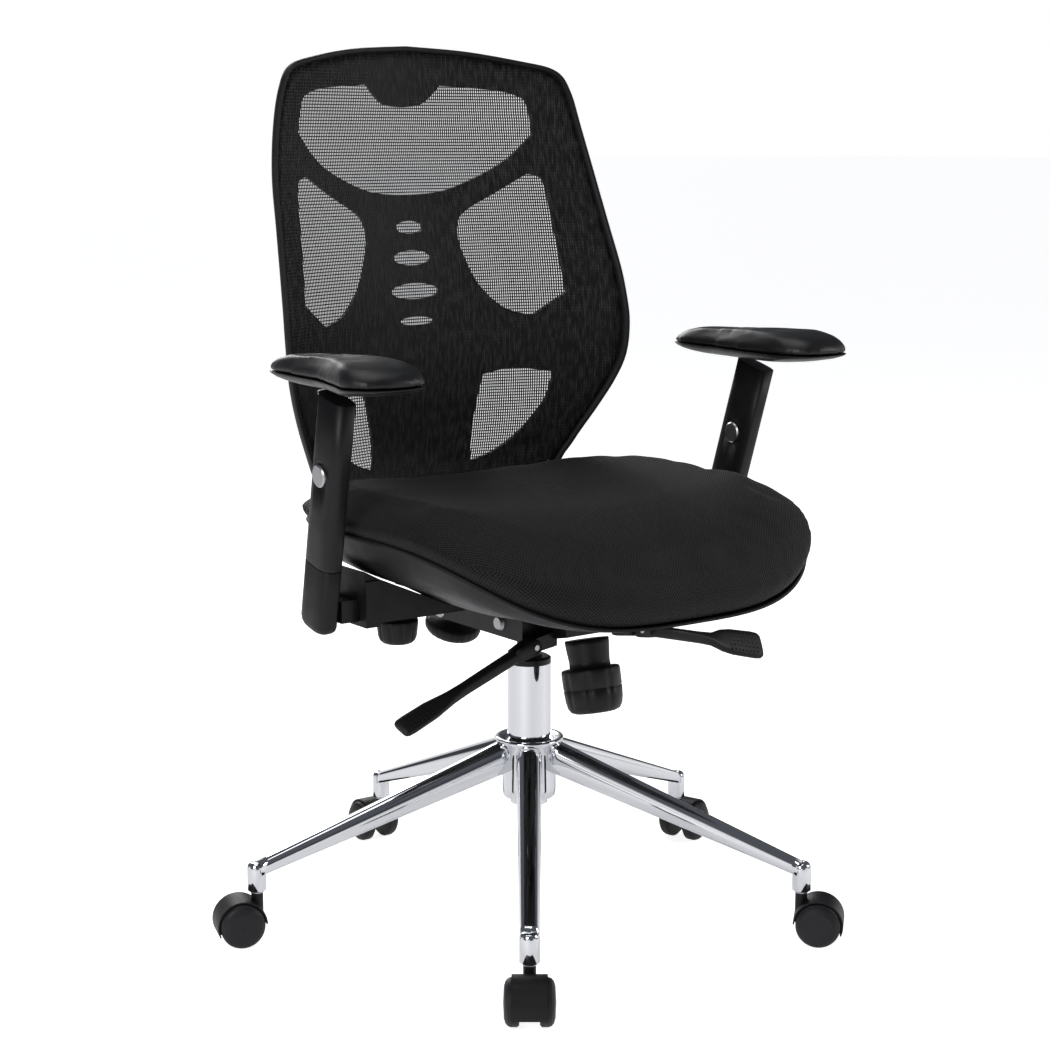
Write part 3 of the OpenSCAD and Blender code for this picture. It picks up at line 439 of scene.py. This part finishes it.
def smoothSkin(piece, rounds):
    work = bmesh.new()
    work.from_mesh(piece.data)
    for _ in range(rounds):
        bmesh.ops.smooth_vert(work, verts=work.verts, factor=0.5, use_axis_x=True, use_axis_y=True,
                              use_axis_z=True)
    work.to_mesh(piece.data)
    work.free()


buildPan()
cushion = addPiece("seatCushion", *loft(cushionRings(128, 0.988)))
puffUp(cushion, seat["voxel"], seat["pressure"], seat["puffCap"], -0.1)
smoothSkin(cushion, 5)
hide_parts("seat_cushion")
dress(cushion, seatFinish, "seat")
print("seat built")


# back
back = {"width": 0.478, "height": 0.519, "foot": 0.4745, "axis": -0.100,
        "netEdge": 0.004, "netStand": 0.026, "trim": 0.0036, "trimDeep": 0.0066, "netThick": 0.0005}
backSide = [(0, 0), (0.42, 0.004), (0.68, 0.022), (0.75, 0.06), (0.81, 0.11), (0.88, 0.17), (0.945, 0.235),
            (0.985, 0.295), (1, 0.37), (0.995, 0.44), (0.985, 0.5), (0.96, 0.6), (0.93, 0.72), (0.885, 0.83),
            (0.84, 0.906), (0.775, 0.95), (0.62, 0.97), (0.33, 0.991), (0, 1)]
shellCurve = openCurve([(-0.01, 0.326), (0.2, 0.325), (0.36, 0.327), (0.48, 0.333), (0.6, 0.343),
                        (0.72, 0.354), (0.84, 0.358), (0.95, 0.354), (1.01, 0.348)], 8)


def backOutline(inset, steps):
    half = []
    for share, rise in backSide:
        x = max(share * back["width"] / 2 - inset * (1 if share > 0.5 else 2 * share), 0)
        half.append((x, mix(back["foot"] + inset, back["foot"] + back["height"] - inset, rise)))
    half = openCurve(half, steps)
    return half + [(-x, z) for x, z in reversed(half[1:-1])]


def shellDepth(x, z, offset):
    radius = readCurve(shellCurve, (z - back["foot"]) / back["height"]) + offset
    return back["axis"] + math.sqrt(max(radius ** 2 - x * x, 0))


def buildNet():
    outline = backOutline(0.0055, 8)
    middle = back["foot"] + 0.48 * back["height"]
    shares = [0.02, 0.08] + [0.08 + 0.046 * k for k in range(1, 21)]
    rings = []
    for layer in (0, back["netThick"]):
        rows = []
        for f in shares:
            row = []
            for x, z in outline:
                px, pz = x * f, mix(middle, z, f)
                stand = back["netStand"] * (1 - f ** 2.5)
                ripple = 0.0007 * math.sin(px * 150) * math.exp(-((pz - 0.60) / 0.05) ** 2) * (1 - f ** 4)
                row.append((px, shellDepth(px, pz, 0) - back["netEdge"] - stand + layer + ripple, pz))
            rows.append(row)
        rings += rows if layer == 0 else list(reversed(rows))
    net = addPiece("backNet", *loft(rings))
    layer = net.data.uv_layers.new(name="cloth")
    for loopIndex, corner in enumerate(net.data.loops):
        place = net.data.vertices[corner.vertex_index].co
        layer.data[loopIndex].uv = (place.x + 0.5, place.z)
    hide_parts("back_mesh")
    dress(net, netFinish, "back")
    area = sum(face.area for face in net.data.polygons) / 2
    print("net area", round(area, 4))


def buildTrim():
    path = backOutline(0.0032, 8)
    count = len(path)
    rings = []
    for i, (x, z) in enumerate(path):
        before, after = path[i - 1], path[(i + 1) % count]
        along = Vector((after[0] - before[0], 0, after[1] - before[1])).normalized()
        outward = Vector((along.z, 0, -along.x))
        ring = []
        for k in range(14):
            angle = 360 * k / 14
            wide = back["trim"] * math.copysign(abs(cosD(angle)) ** 0.8, cosD(angle))
            deep = back["trimDeep"] * math.copysign(abs(sinD(angle)) ** 0.8, sinD(angle))
            px, pz = x + outward.x * wide, z + outward.z * wide
            level = min(max(pz, back["foot"]), back["foot"] + back["height"])
            ring.append((px, shellDepth(px, level, -0.0005) + deep, pz))
        rings.append(ring)
    trim = addPiece("backTrim", *loft(rings, loop=True))
    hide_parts("back_rim")
    dress(trim, panFinish, "back")


buildTrim()
buildNet()
print("back built")


# base
base = {"reach": 0.320, "rootWidth": 0.031, "tipWidth": 0.020, "rootDepth": 0.035, "tipDepth": 0.015,
        "wall": 0.004, "socketFoot": 0.0595, "socketHeight": 0.031, "socketWidth": 0.0213, "hubTop": 0.2115,
        "hubWidth": 0.062, "overSocket": 0.002, "underHub": 0.003}
legTip = base["socketFoot"] + base["socketHeight"] + base["overSocket"]
legSlope = (base["hubTop"] - base["underHub"] - legTip) / (base["reach"] - base["hubWidth"] / 2)


def legSection(r):
    inward = (base["reach"] - r) / (base["reach"] - base["hubWidth"] / 2)
    top = legTip + (base["reach"] - r) * legSlope
    low = top - mix(base["tipDepth"], base["rootDepth"], inward)
    half = mix(base["tipWidth"], base["rootWidth"], r and (base["reach"] - r) / base["reach"]) / 2
    shoulder = mix(low, top, 0.45)
    outer = [(-half, low), (-half, shoulder)]
    for k in range(1, 12):  # the crowned top
        angle = 180 - 15 * k
        across = half * math.copysign(abs(cosD(angle)) ** 0.75, cosD(angle))
        outer.append((across, shoulder + (top - shoulder) * abs(sinD(angle)) ** 0.9))
    outer += [(half, shoulder), (half, low)]
    inner = [((y / half) * (half - base["wall"]), z if z == low else z - base["wall"])
             for y, z in reversed(outer)]
    return [(r, y, z) for y, z in outer + inner]


def turnedSolid(profile, count, centre=(0, 0)):
    rings = []
    for k in range(count):
        a = 2 * math.pi * k / count
        rings.append([(centre[0] + r * math.cos(a), centre[1] + r * math.sin(a), z) for r, z in profile])
    points, faces = [], []
    size = len(profile)
    for ring in rings:
        points += ring
    for k in range(count):
        n = (k + 1) % count
        for i in range(size if profile[0] != profile[-1] else size - 1):
            j = (i + 1) % size
            faces.append((k * size + i, k * size + j, n * size + j, n * size + i))
    return points, faces


def joined(name, parts):
    points, faces = [], []
    for partPoints, partFaces in parts:
        start = len(points)
        points += partPoints
        faces += [tuple(i + start for i in face) for face in partFaces]
    return addPiece(name, points, faces)


def rotated(points, angle):
    turn = Matrix.Rotation(math.radians(angle), 3, "Z")
    return [tuple(turn @ Vector(p)) for p in points]


def buildBase():
    top = base["hubTop"]
    hub = [(0.025, top - 0.071), (0.029, top - 0.071), (0.0305, top - 0.069), (0.031, top - 0.060),
           (0.031, top - 0.018), (0.0325, top - 0.013), (0.0365, top - 0.007), (0.0392, top - 0.004),
           (0.0396, top - 0.002), (0.0388, top - 0.0005), (0.037, top), (0.0275, top - 0.0012),
           (0.0268, top - 0.004), (0.025, top - 0.004)]
    parts = [turnedSolid(hub, 96)]
    foot, tip = base["socketFoot"], legTip
    r = base["socketWidth"] / 2
    socket = [(0.0055, foot), (r - 0.001, foot), (r, foot + 0.001), (r, tip - 0.006),
              (r - 0.0012, tip - 0.0025), (r - 0.004, tip - 0.0004), (0.0002, tip), (0.0002, foot + 0.025),
              (0.0055, foot + 0.025)]
    for k in range(5):
        angle = 90 + 72 * k
        stations = [0.0265 + (base["reach"] - 0.0265) * s / 24 for s in range(25)]
        points, faces = loft([legSection(s) for s in stations])
        parts.append((rotated(points, angle), faces))
        points, faces = turnedSolid(socket, 40, (base["reach"], 0))
        parts.append((rotated(points, angle), faces))
    star = joined("starBase", parts)
    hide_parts("star_base")
    dress(star, chromeFinish, "base")


buildBase()
print("base built")


# arms
arm = {"postX": 0.274, "postY": 0.007, "barZ": 0.3809, "lean": 15, "splay": 3, "depth": 0.050, "thick": 0.024,
       "joint": 0.066, "sleeve": 0.188, "gap": 0.0004, "tongue": (0.011, 0.034), "low": 0.009,
       "padLength": 0.252, "padThick": 0.021, "padSeam": 0.011, "padGap": 0.0006,
       "buttonUp": 0.103, "button": 0.0124}
armFrame = (Matrix.Translation((arm["postX"], arm["postY"], arm["barZ"]))
            @ Matrix.Rotation(math.radians(arm["splay"]), 4, "Y")
            @ Matrix.Rotation(math.radians(arm["lean"]), 4, "X"))
padShape = [(-4, -132), (22, -120), (30, -60), (33, 0), (48, 60), (56, 98), (40, 124), (8, 132), (-22, 124),
            (-38, 92), (-36, 30), (-30, -40), (-26, -110)]


def postRing(thick, depth, z, scale=1.0):
    ring = []
    for k in range(48):
        c, s = cosD(360 * k / 48), sinD(360 * k / 48)
        power = 2 / 2.5 if c > 0 else 2 / 6.0
        x = scale * thick / 2 * math.copysign(abs(c) ** power, c)
        ring.append((x, scale * depth / 2 * math.copysign(abs(s) ** (2 / 3.2), s), z))
    return ring


def slotRing(thick, depth, z):
    return [(thick / 2 * math.copysign(abs(cosD(7.5 * k)) ** 0.15, cosD(7.5 * k)),
             depth / 2 * math.copysign(abs(sinD(7.5 * k)) ** 0.15, sinD(7.5 * k)), z) for k in range(48)]


def armSide(points, side, onPost=True):
    out = []
    for p in points:
        q = armFrame @ Vector(p) if onPost else Vector(p)
        out.append((q.x * side, q.y, q.z))
    return out


def buildArm(side, name):
    low, joint, gap = arm["low"], arm["joint"], arm["gap"]
    size = (arm["thick"], arm["depth"])
    rows = [postRing(*size, z, scale) for z, scale in
            ((-low, 0.7), (-low * 0.86, 0.83), (-low * 0.5, 0.945), (0, 1),
             (joint - 0.0008, 1), (joint, 0.975))]
    tongue = [slotRing(*arm["tongue"], z) for z in (joint - 0.002, joint + 0.151)]
    parts = [(armSide(points, side), faces) for points, faces in (loft(rows), loft(tongue))]
    post = joined("armPost" + name, parts)
    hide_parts("arm_post_" + name.lower())
    dress(post, nylonFinish, "arm_" + name.lower())
    foot, head = joint + gap, joint + gap + arm["sleeve"]
    cavity = (arm["tongue"][0] + 2 * gap, arm["tongue"][1] + 2 * gap)
    rows = [slotRing(*cavity, head - 0.006), slotRing(*cavity, foot)]
    rows += [postRing(*size, z, scale) for z, scale in
             ((foot, 0.97), (foot + 0.0009, 1), (foot + 0.06, 1), (foot + 0.12, 1), (head, 1))]
    points, faces = loft(rows)
    sleeve = addPiece("armSleeve" + name, armSide(points, side), faces)
    cutAt = (Matrix.Translation((-side * arm["thick"] / 2, 0, foot + arm["buttonUp"]))
             @ Matrix.Rotation(math.radians(90), 4, "Y"))
    circle = [(arm["button"] * cosD(9 * k), arm["button"] * sinD(9 * k)) for k in range(40)]
    hole = [[tuple(cutAt @ Vector((x, y, z))) for x, y in circle] for z in (-0.009, 0.009)]
    points, faces = loft(hole)
    cutter = addPiece("cutter", armSide(points, side), faces)
    cut = sleeve.modifiers.new("Hole", "BOOLEAN")
    cut.object = cutter
    cut.solver = "EXACT"
    applied(sleeve)
    bpy.data.objects.remove(cutter)
    for face in sleeve.data.polygons:
        face.use_smooth = face.area < 0.0008 and abs(face.normal.z) < 0.9
    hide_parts("arm_sleeve_" + name.lower())
    dress(sleeve, nylonFinish, "arm_top_" + name.lower())


padUpper = [(0.95, 0.0), (0.985, 0.08), (0.99, 0.2), (0.98, 0.36), (0.955, 0.54), (0.91, 0.73), (0.85, 0.88),
            (0.77, 0.975), (0.68, 1.0), (0.57, 0.97), (0.42, 0.92), (0.24, 0.885), (0.06, 0.88)]
padLower = [(0.95, 1.0), (0.985, 0.985), (0.985, 0.93), (0.955, 0.74), (0.89, 0.5), (0.78, 0.27),
            (0.64, 0.1), (0.5, 0.02), (0.36, 0.0), (0.14, 0.0)]


def padCentre():
    span = arm["joint"] + arm["sleeve"]
    return (arm["postX"] + span * sinD(arm["splay"]) - 0.009,
            arm["postY"] - span * sinD(arm["lean"]) * cosD(arm["splay"]) + 0.001,
            arm["barZ"] + span * cosD(arm["lean"]) + 0.009)


def padHeight(y):  # slim at the elbow end, full at the hand end
    return arm["padThick"] * mix(0.72, 1.0, min(max((y + 0.13) / 0.17, 0), 1))


def padRings(rows, side, low, height):
    centre = padCentre()
    outline = closedCurve([(x / 1000, y / 1000 * arm["padLength"] / 0.264) for x, y in padShape], 8)
    rings = []
    for share, rise in rows:
        ring = [(centre[0] + x * share, centre[1] - y * share, centre[2] + low + rise * height(y))
                for x, y in outline]
        rings.append([(side * x, y, z) for x, y, z in ring])
    return rings


def buildPad(side, name):
    pad = addPiece("armPad" + name, *loft(padRings(padUpper, side, arm["padSeam"], padHeight)))
    puffUp(pad, 0.004, 4, 0.004, -0.2)
    smoothSkin(pad, 2)
    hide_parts("arm_pad_" + name.lower())
    dress(pad, padFinish, "arm_top_" + name.lower())
    rows = padRings(padLower, side, 0, lambda y: arm["padSeam"] - arm["padGap"])
    shell = addPiece("armPadShell" + name, *loft(rows))
    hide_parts("arm_pad_base_" + name.lower())
    dress(shell, padFinish, "arm_top_" + name.lower())


for armSign, armName in ((1, "Left"), (-1, "Right")):
    buildArm(armSign, armName)
    buildPad(armSign, armName)
print("arms built")


# levers: a smooth bar that widens into a dotted grip
lever = {"reach": 0.187, "fork": 0.018, "paddle": 0.070, "deep": 0.0065, "slim": 0.0044, "cheek": 0.0045,
         "eye": 0.0085, "lug": 0.0044, "pivot": (0.073, -0.104, 0.3455)}
grip = {"length": 0.036, "pitch": 0.0046, "dot": 0.0011, "middle": 0.043, "lift": 0.0043, "flat": 0.6}


def turn(angle, axis):
    return Matrix.Rotation(math.radians(angle), 4, axis)


def leverRing(along, wide, deep, roll):
    ring = []
    for k in range(32):
        c, s = cosD(11.25 * k), sinD(11.25 * k)
        y, z = wide * math.copysign(abs(c) ** 0.55, c), deep * math.copysign(abs(s) ** 0.75, s)
        ring.append((along, y * cosD(roll) + z * sinD(roll), z * cosD(roll) - y * sinD(roll)))
    return ring


def leverParts(place, length, yaw, roll, root, tip):
    start = length - lever["paddle"] - lever["fork"]
    end = start + lever["paddle"]
    slim = lever["slim"]
    rows = [(-0.002, root * 0.9, 0.0055, 0), (0.004, root, lever["deep"], 0),
            (start * 0.45, mix(root, 0.0068, 0.6), 0.0066, 0), (start * 0.8, 0.0066, 0.0062, 0.35),
            (start, 0.0078, 0.0056, 0.8), (start + 0.014, tip * 0.8, slim, 1),
            (start + 0.028, tip * 0.95, slim, 1), (end - 0.012, tip, slim, 1), (end - 0.004, tip * 0.95, slim, 1),
            (end - 0.001, tip * 0.82, slim * 0.9, 1), (end, tip * 0.7, slim * 0.6, 1)]
    bar = place @ Matrix.Translation((lever["fork"], 0, 0)) @ turn(yaw, "Z")
    points, faces = loft([leverRing(x, wide, deep, roll * share) for x, wide, deep, share in rows])
    parts = [([tuple(bar @ Vector(p)) for p in points], faces)]
    outline = [(lever["eye"] * cosD(a), lever["eye"] * sinD(a)) for a in range(90, 271, 15)]
    outline += [(0.014, -0.0075), (0.025, -0.006), (0.025, 0.006), (0.014, 0.0075)]
    for side in (-1, 1):
        inner, outer = side * lever["lug"], side * (lever["lug"] + lever["cheek"])
        rows = [[(x * s, y, z * s) for x, z in outline] for y, s in
                ((inner, 0.96), (inner + side * 0.0005, 1), (outer - side * 0.0008, 1), (outer, 0.93))]
        points, faces = loft(rows)
        parts.append(([tuple(place @ Vector(p)) for p in points], faces))
    return parts


leverX, leverY, leverZ = lever["pivot"]
heightPlace = Matrix.Translation((-leverX, leverY, leverZ)) @ turn(180, "Z") @ turn(20, "Y")
tiltPlace = Matrix.Translation((leverX, leverY, leverZ)) @ Matrix.Scale(-1, 4, (0, 1, 0)) @ turn(13, "Y")
for label, place, share, yaw, roll, root, tip in (("height", heightPlace, 1, 3, 30, 0.0085, 0.0125),
                                                  ("tilt", tiltPlace, 0.93, 8, 52, 0.0115, 0.0175)):
    piece = joined(label + "Lever", leverParts(place, share * lever["reach"], yaw, roll, root, tip))
    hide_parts(label + "_lever")
    dress(piece, nylonFinish, label + "_handle")


def dotTree(material):
    tree = bpy.data.node_groups.new("gripDots", "GeometryNodeTree")
    inputs = {}
    for label, kind, start in (("Length", "NodeSocketFloat", 0.034), ("Width", "NodeSocketFloat", 0.018),
                               ("Rows", "NodeSocketInt", 8), ("Columns", "NodeSocketInt", 4),
                               ("Dot Radius", "NodeSocketFloat", 0.0012)):
        socket = tree.interface.new_socket(label, in_out="INPUT", socket_type=kind)
        socket.default_value = start
        inputs[label] = socket.identifier
    tree.interface.new_socket("Geometry", in_out="OUTPUT", socket_type="NodeSocketGeometry")
    given = tree.nodes.new("NodeGroupInput")
    grid = tree.nodes.new("GeometryNodeMeshGrid")
    ball = tree.nodes.new("GeometryNodeMeshUVSphere")
    ball.inputs["Segments"].default_value = 10
    ball.inputs["Rings"].default_value = 6
    place = tree.nodes.new("GeometryNodeInstanceOnPoints")
    real = tree.nodes.new("GeometryNodeRealizeInstances")
    finish = tree.nodes.new("GeometryNodeSetMaterial")
    finish.inputs["Material"].default_value = material
    result = tree.nodes.new("NodeGroupOutput")
    link = tree.links.new
    link(given.outputs["Length"], grid.inputs["Size X"])
    link(given.outputs["Width"], grid.inputs["Size Y"])
    link(given.outputs["Rows"], grid.inputs["Vertices X"])
    link(given.outputs["Columns"], grid.inputs["Vertices Y"])
    link(given.outputs["Dot Radius"], ball.inputs["Radius"])
    link(grid.outputs["Mesh"], place.inputs["Points"])
    link(ball.outputs["Mesh"], place.inputs["Instance"])
    link(place.outputs["Instances"], real.inputs["Geometry"])
    link(real.outputs["Geometry"], finish.inputs["Geometry"])
    link(finish.outputs["Geometry"], result.inputs["Geometry"])
    return tree, inputs


dotMaker, dotInputs = dotTree(nylonFinish)


def buildDots(name, where, body, width):
    holder = addPiece("holder", [(0, 0, 0)], [])
    made = holder.modifiers.new("Dots", "NODES")
    made.node_group = dotMaker
    for label, value in (("Length", grip["length"]), ("Width", width), ("Rows", 8),
                         ("Columns", int(width / grip["pitch"]) + 1), ("Dot Radius", grip["dot"])):
        made[dotInputs[label]] = value
    applied(holder)
    points, faces = [], []
    for lift in (grip["lift"], -grip["lift"]):
        start = len(points)
        points += [tuple(where @ Vector((v.co.x + grip["middle"], v.co.y, v.co.z * grip["flat"] + lift)))
                   for v in holder.data.vertices]
        faces += [tuple(i + start for i in face.vertices) for face in holder.data.polygons]
    bpy.data.objects.remove(holder)
    dots = addPiece(name, points, faces)
    dress(dots, nylonFinish, body)


def paddlePlace(place, share, yaw, roll):
    along = share * lever["reach"] - lever["paddle"] - lever["fork"]
    bar = place @ Matrix.Translation((lever["fork"], 0, 0)) @ turn(yaw, "Z")
    return bar @ Matrix.Translation((along, 0, 0)) @ turn(-roll, "X")


buildDots("heightGripDots", paddlePlace(heightPlace, 1, 3, 30), "height_handle", 0.0145)
buildDots("tiltGripDots", paddlePlace(tiltPlace, 0.93, 8, 52), "tilt_handle", 0.0225)
print("levers built")


# hand knobs: turned bodies with flutes round the grip
knob = {"tension": (0, -0.106, 0.3501), "tensionTilt": -12.7, "arm": (0.178, 0, 0.3445),
        "back": (0, 0.142, 0.34714), "backTilt": math.degrees(math.atan2(23, 61))}
tensionShape = [(0.0002, -0.006, 0), (0.0245, -0.006, 0), (0.0243, -0.012, 0), (0.0225, -0.03, 0),
                (0.0228, -0.0372, 0), (0.0305, -0.0376, 0), (0.0322, -0.0388, 0.1),
                (0.0327, -0.042, 0.5), (0.0325, -0.0585, 1), (0.0318, -0.0592, 1), (0.0318, -0.06, 1),
                (0.0325, -0.0607, 1), (0.0318, -0.072, 0.8), (0.0302, -0.08, 0.35), (0.0272, -0.0848, 0),
                (0.022, -0.0868, 0), (0.0002, -0.087, 0)]
armKnobShape = [(0.0002, 0.0326, 0), (0.019, 0.0326, 0), (0.019, 0.0262, 0), (0.0224, 0.026, 0),
                (0.0229, 0.0248, 0.3), (0.0228, 0.021, 1), (0.0215, 0.0085, 1), (0.0196, 0.0035, 0.5),
                (0.0165, 0.0008, 0), (0.0145, 0, 0), (0.0002, 0, 0)]
backKnobShape = [(0.0002, -0.0085, 0), (0.009, -0.0085, 0), (0.009, -0.029, 0), (0.028, -0.029, 0),
                 (0.0318, -0.0306, 0.4), (0.0334, -0.0336, 1), (0.0338, -0.0372, 1), (0.033, -0.0408, 1),
                 (0.0305, -0.0438, 0.4), (0.026, -0.0456, 0), (0.0002, -0.046, 0)]


def fluted(shape, flutes, depth, place):
    rings = []
    for radius, z, share in shape:
        ring = []
        for k in range(144):
            wave = max(0, cosD(2.5 * k * flutes)) ** 3
            r = radius - depth * share * wave
            ring.append(tuple(place @ Vector((r * cosD(2.5 * k), r * sinD(2.5 * k), z))))
        rings.append(ring)
    return loft(rings)


def buildKnob(name, node, body, shape, flutes, depth, place):
    piece = addPiece(name, *fluted(shape, flutes, depth, place))
    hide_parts(node)
    dress(piece, nylonFinish, body)


buildKnob("tensionKnob", "tension_knob", "tension_adjuster", tensionShape, 8, 0.0016,
          Matrix.Translation(knob["tension"]) @ turn(knob["tensionTilt"], "X"))
for armSign, label in ((1, "left"), (-1, "right")):
    x, y, z = knob["arm"]
    buildKnob("armKnob" + label.title(), "arm_knob_" + label, "arm_clamp_" + label, armKnobShape, 10, 0.0017,
              Matrix.Translation((armSign * x, y, z)))
buildKnob("backKnob", "back_knob", "back_clamp", backKnobShape, 24, 0.0007,
          Matrix.Translation(knob["back"]) @ turn(knob["backTilt"], "X"))
print("knobs built")


# floor, light and camera
studio = {"floor": 60, "glow": 0.3, "white": 0.86, "strength": 1.0, "bright": 0.04, "dark": 0.42,
          "zenith": (0.09, 0.095, 0.11), "panels": 5, "shift": 1.5, "flag": (0.05, 0.052, 0.06),
          "lamps": [("key", (-2.6, -1.2, 1.9), 1.2, 1.6, 34), ("fill", (2.4, -1.8, 1.7), 1.2, 1.6, 24),
                    ("rear", (0.9, 2.8, 1.8), 1.6, 1.2, 30), ("over", (-0.2, 0.3, 3.4), 2.2, 2.2, 26)]}


def buildStage():
    far = studio["floor"]
    corners = [(-far, -far, 0), (far, -far, 0), (far, far, 0), (-far, far, 0)]
    floor = addPiece("floor", corners, [(0, 1, 2, 3)], False)
    pale, tree, shader = startMaterial("paleFloor", (0.9, 0.9, 0.9), 0.6)
    patchy = tint(tree, objectNoise(tree, 1.5, 2), (0.9, 0.9, 0.9), (0.93, 0.93, 0.93))
    tree.links.new(patchy, shader.inputs["Base Color"])
    shader.inputs["Emission Color"].default_value = (1, 1, 1, 1)
    straight = addNode(tree, "ShaderNodeLightPath").outputs["Is Camera Ray"]
    glow = spread(tree, straight, 0, 1, studio["glow"], studio["white"])  # whiter to the camera than to the chair
    tree.links.new(glow, shader.inputs["Emission Strength"])
    floor.data.materials.append(pale)
    bpy.context.scene.view_settings.view_transform = "Standard"
    world = bpy.data.worlds.new("studio")
    bpy.context.scene.world = world
    world.use_nodes = True
    sky = world.node_tree
    place = addNode(sky, "ShaderNodeSeparateXYZ")
    sky.links.new(addNode(sky, "ShaderNodeTexCoord").outputs["Generated"], place.inputs[0])
    lift = spread(sky, place.outputs[2], studio["bright"], studio["dark"], 0, 1)
    lift.node.interpolation_type = "SMOOTHSTEP"
    bearing = mathNode(sky, "ARCTAN2", place.outputs[1], place.outputs[0])
    around = mathNode(sky, "MULTIPLY", bearing, studio["panels"])
    wave = mathNode(sky, "SINE", mathNode(sky, "ADD", around, studio["shift"]))
    flags = spread(sky, wave, -0.35, 0.1, 0, 1)  # dark flags between white panels
    panel = tint(sky, flags, studio["flag"], (1, 1, 1))
    room = addNode(sky, "ShaderNodeMix", data_type="RGBA")
    sky.links.new(lift, room.inputs[0])
    sky.links.new(panel, room.inputs[6])
    room.inputs[7].default_value = (*studio["zenith"], 1)
    seen = addNode(sky, "ShaderNodeMix", data_type="RGBA")  # the camera sees a plain white wall
    sky.links.new(addNode(sky, "ShaderNodeLightPath").outputs["Is Camera Ray"], seen.inputs[0])
    sky.links.new(room.outputs[2], seen.inputs[6])
    seen.inputs[7].default_value = (1, 1, 1, 1)
    sky.links.new(seen.outputs[2], sky.nodes["Background"].inputs["Color"])
    sky.nodes["Background"].inputs["Strength"].default_value = studio["strength"]
    for name, where, wide, high, power in studio["lamps"]:
        lamp = bpy.data.lights.new(name, "AREA")
        lamp.shape = "RECTANGLE"
        lamp.size = wide
        lamp.size_y = high
        lamp.energy = power
        holder = bpy.data.objects.new(name, lamp)
        holder.location = where
        holder.rotation_euler = (Vector((0, 0, 0.45)) - Vector(where)).to_track_quat("-Z", "Y").to_euler()
        bpy.context.scene.collection.objects.link(holder)


def buildCamera():
    lens = bpy.data.cameras.new("view")
    lens.lens = 76.33
    lens.sensor_width = 36
    eye = bpy.data.objects.new("view", lens)
    eye.location = (-1.4616, -2.0037, 0.8944)
    eye.rotation_euler = (math.radians(79.985), 0, math.radians(-36))
    bpy.context.scene.collection.objects.link(eye)
    bpy.context.scene.camera = eye


buildStage()
buildCamera()
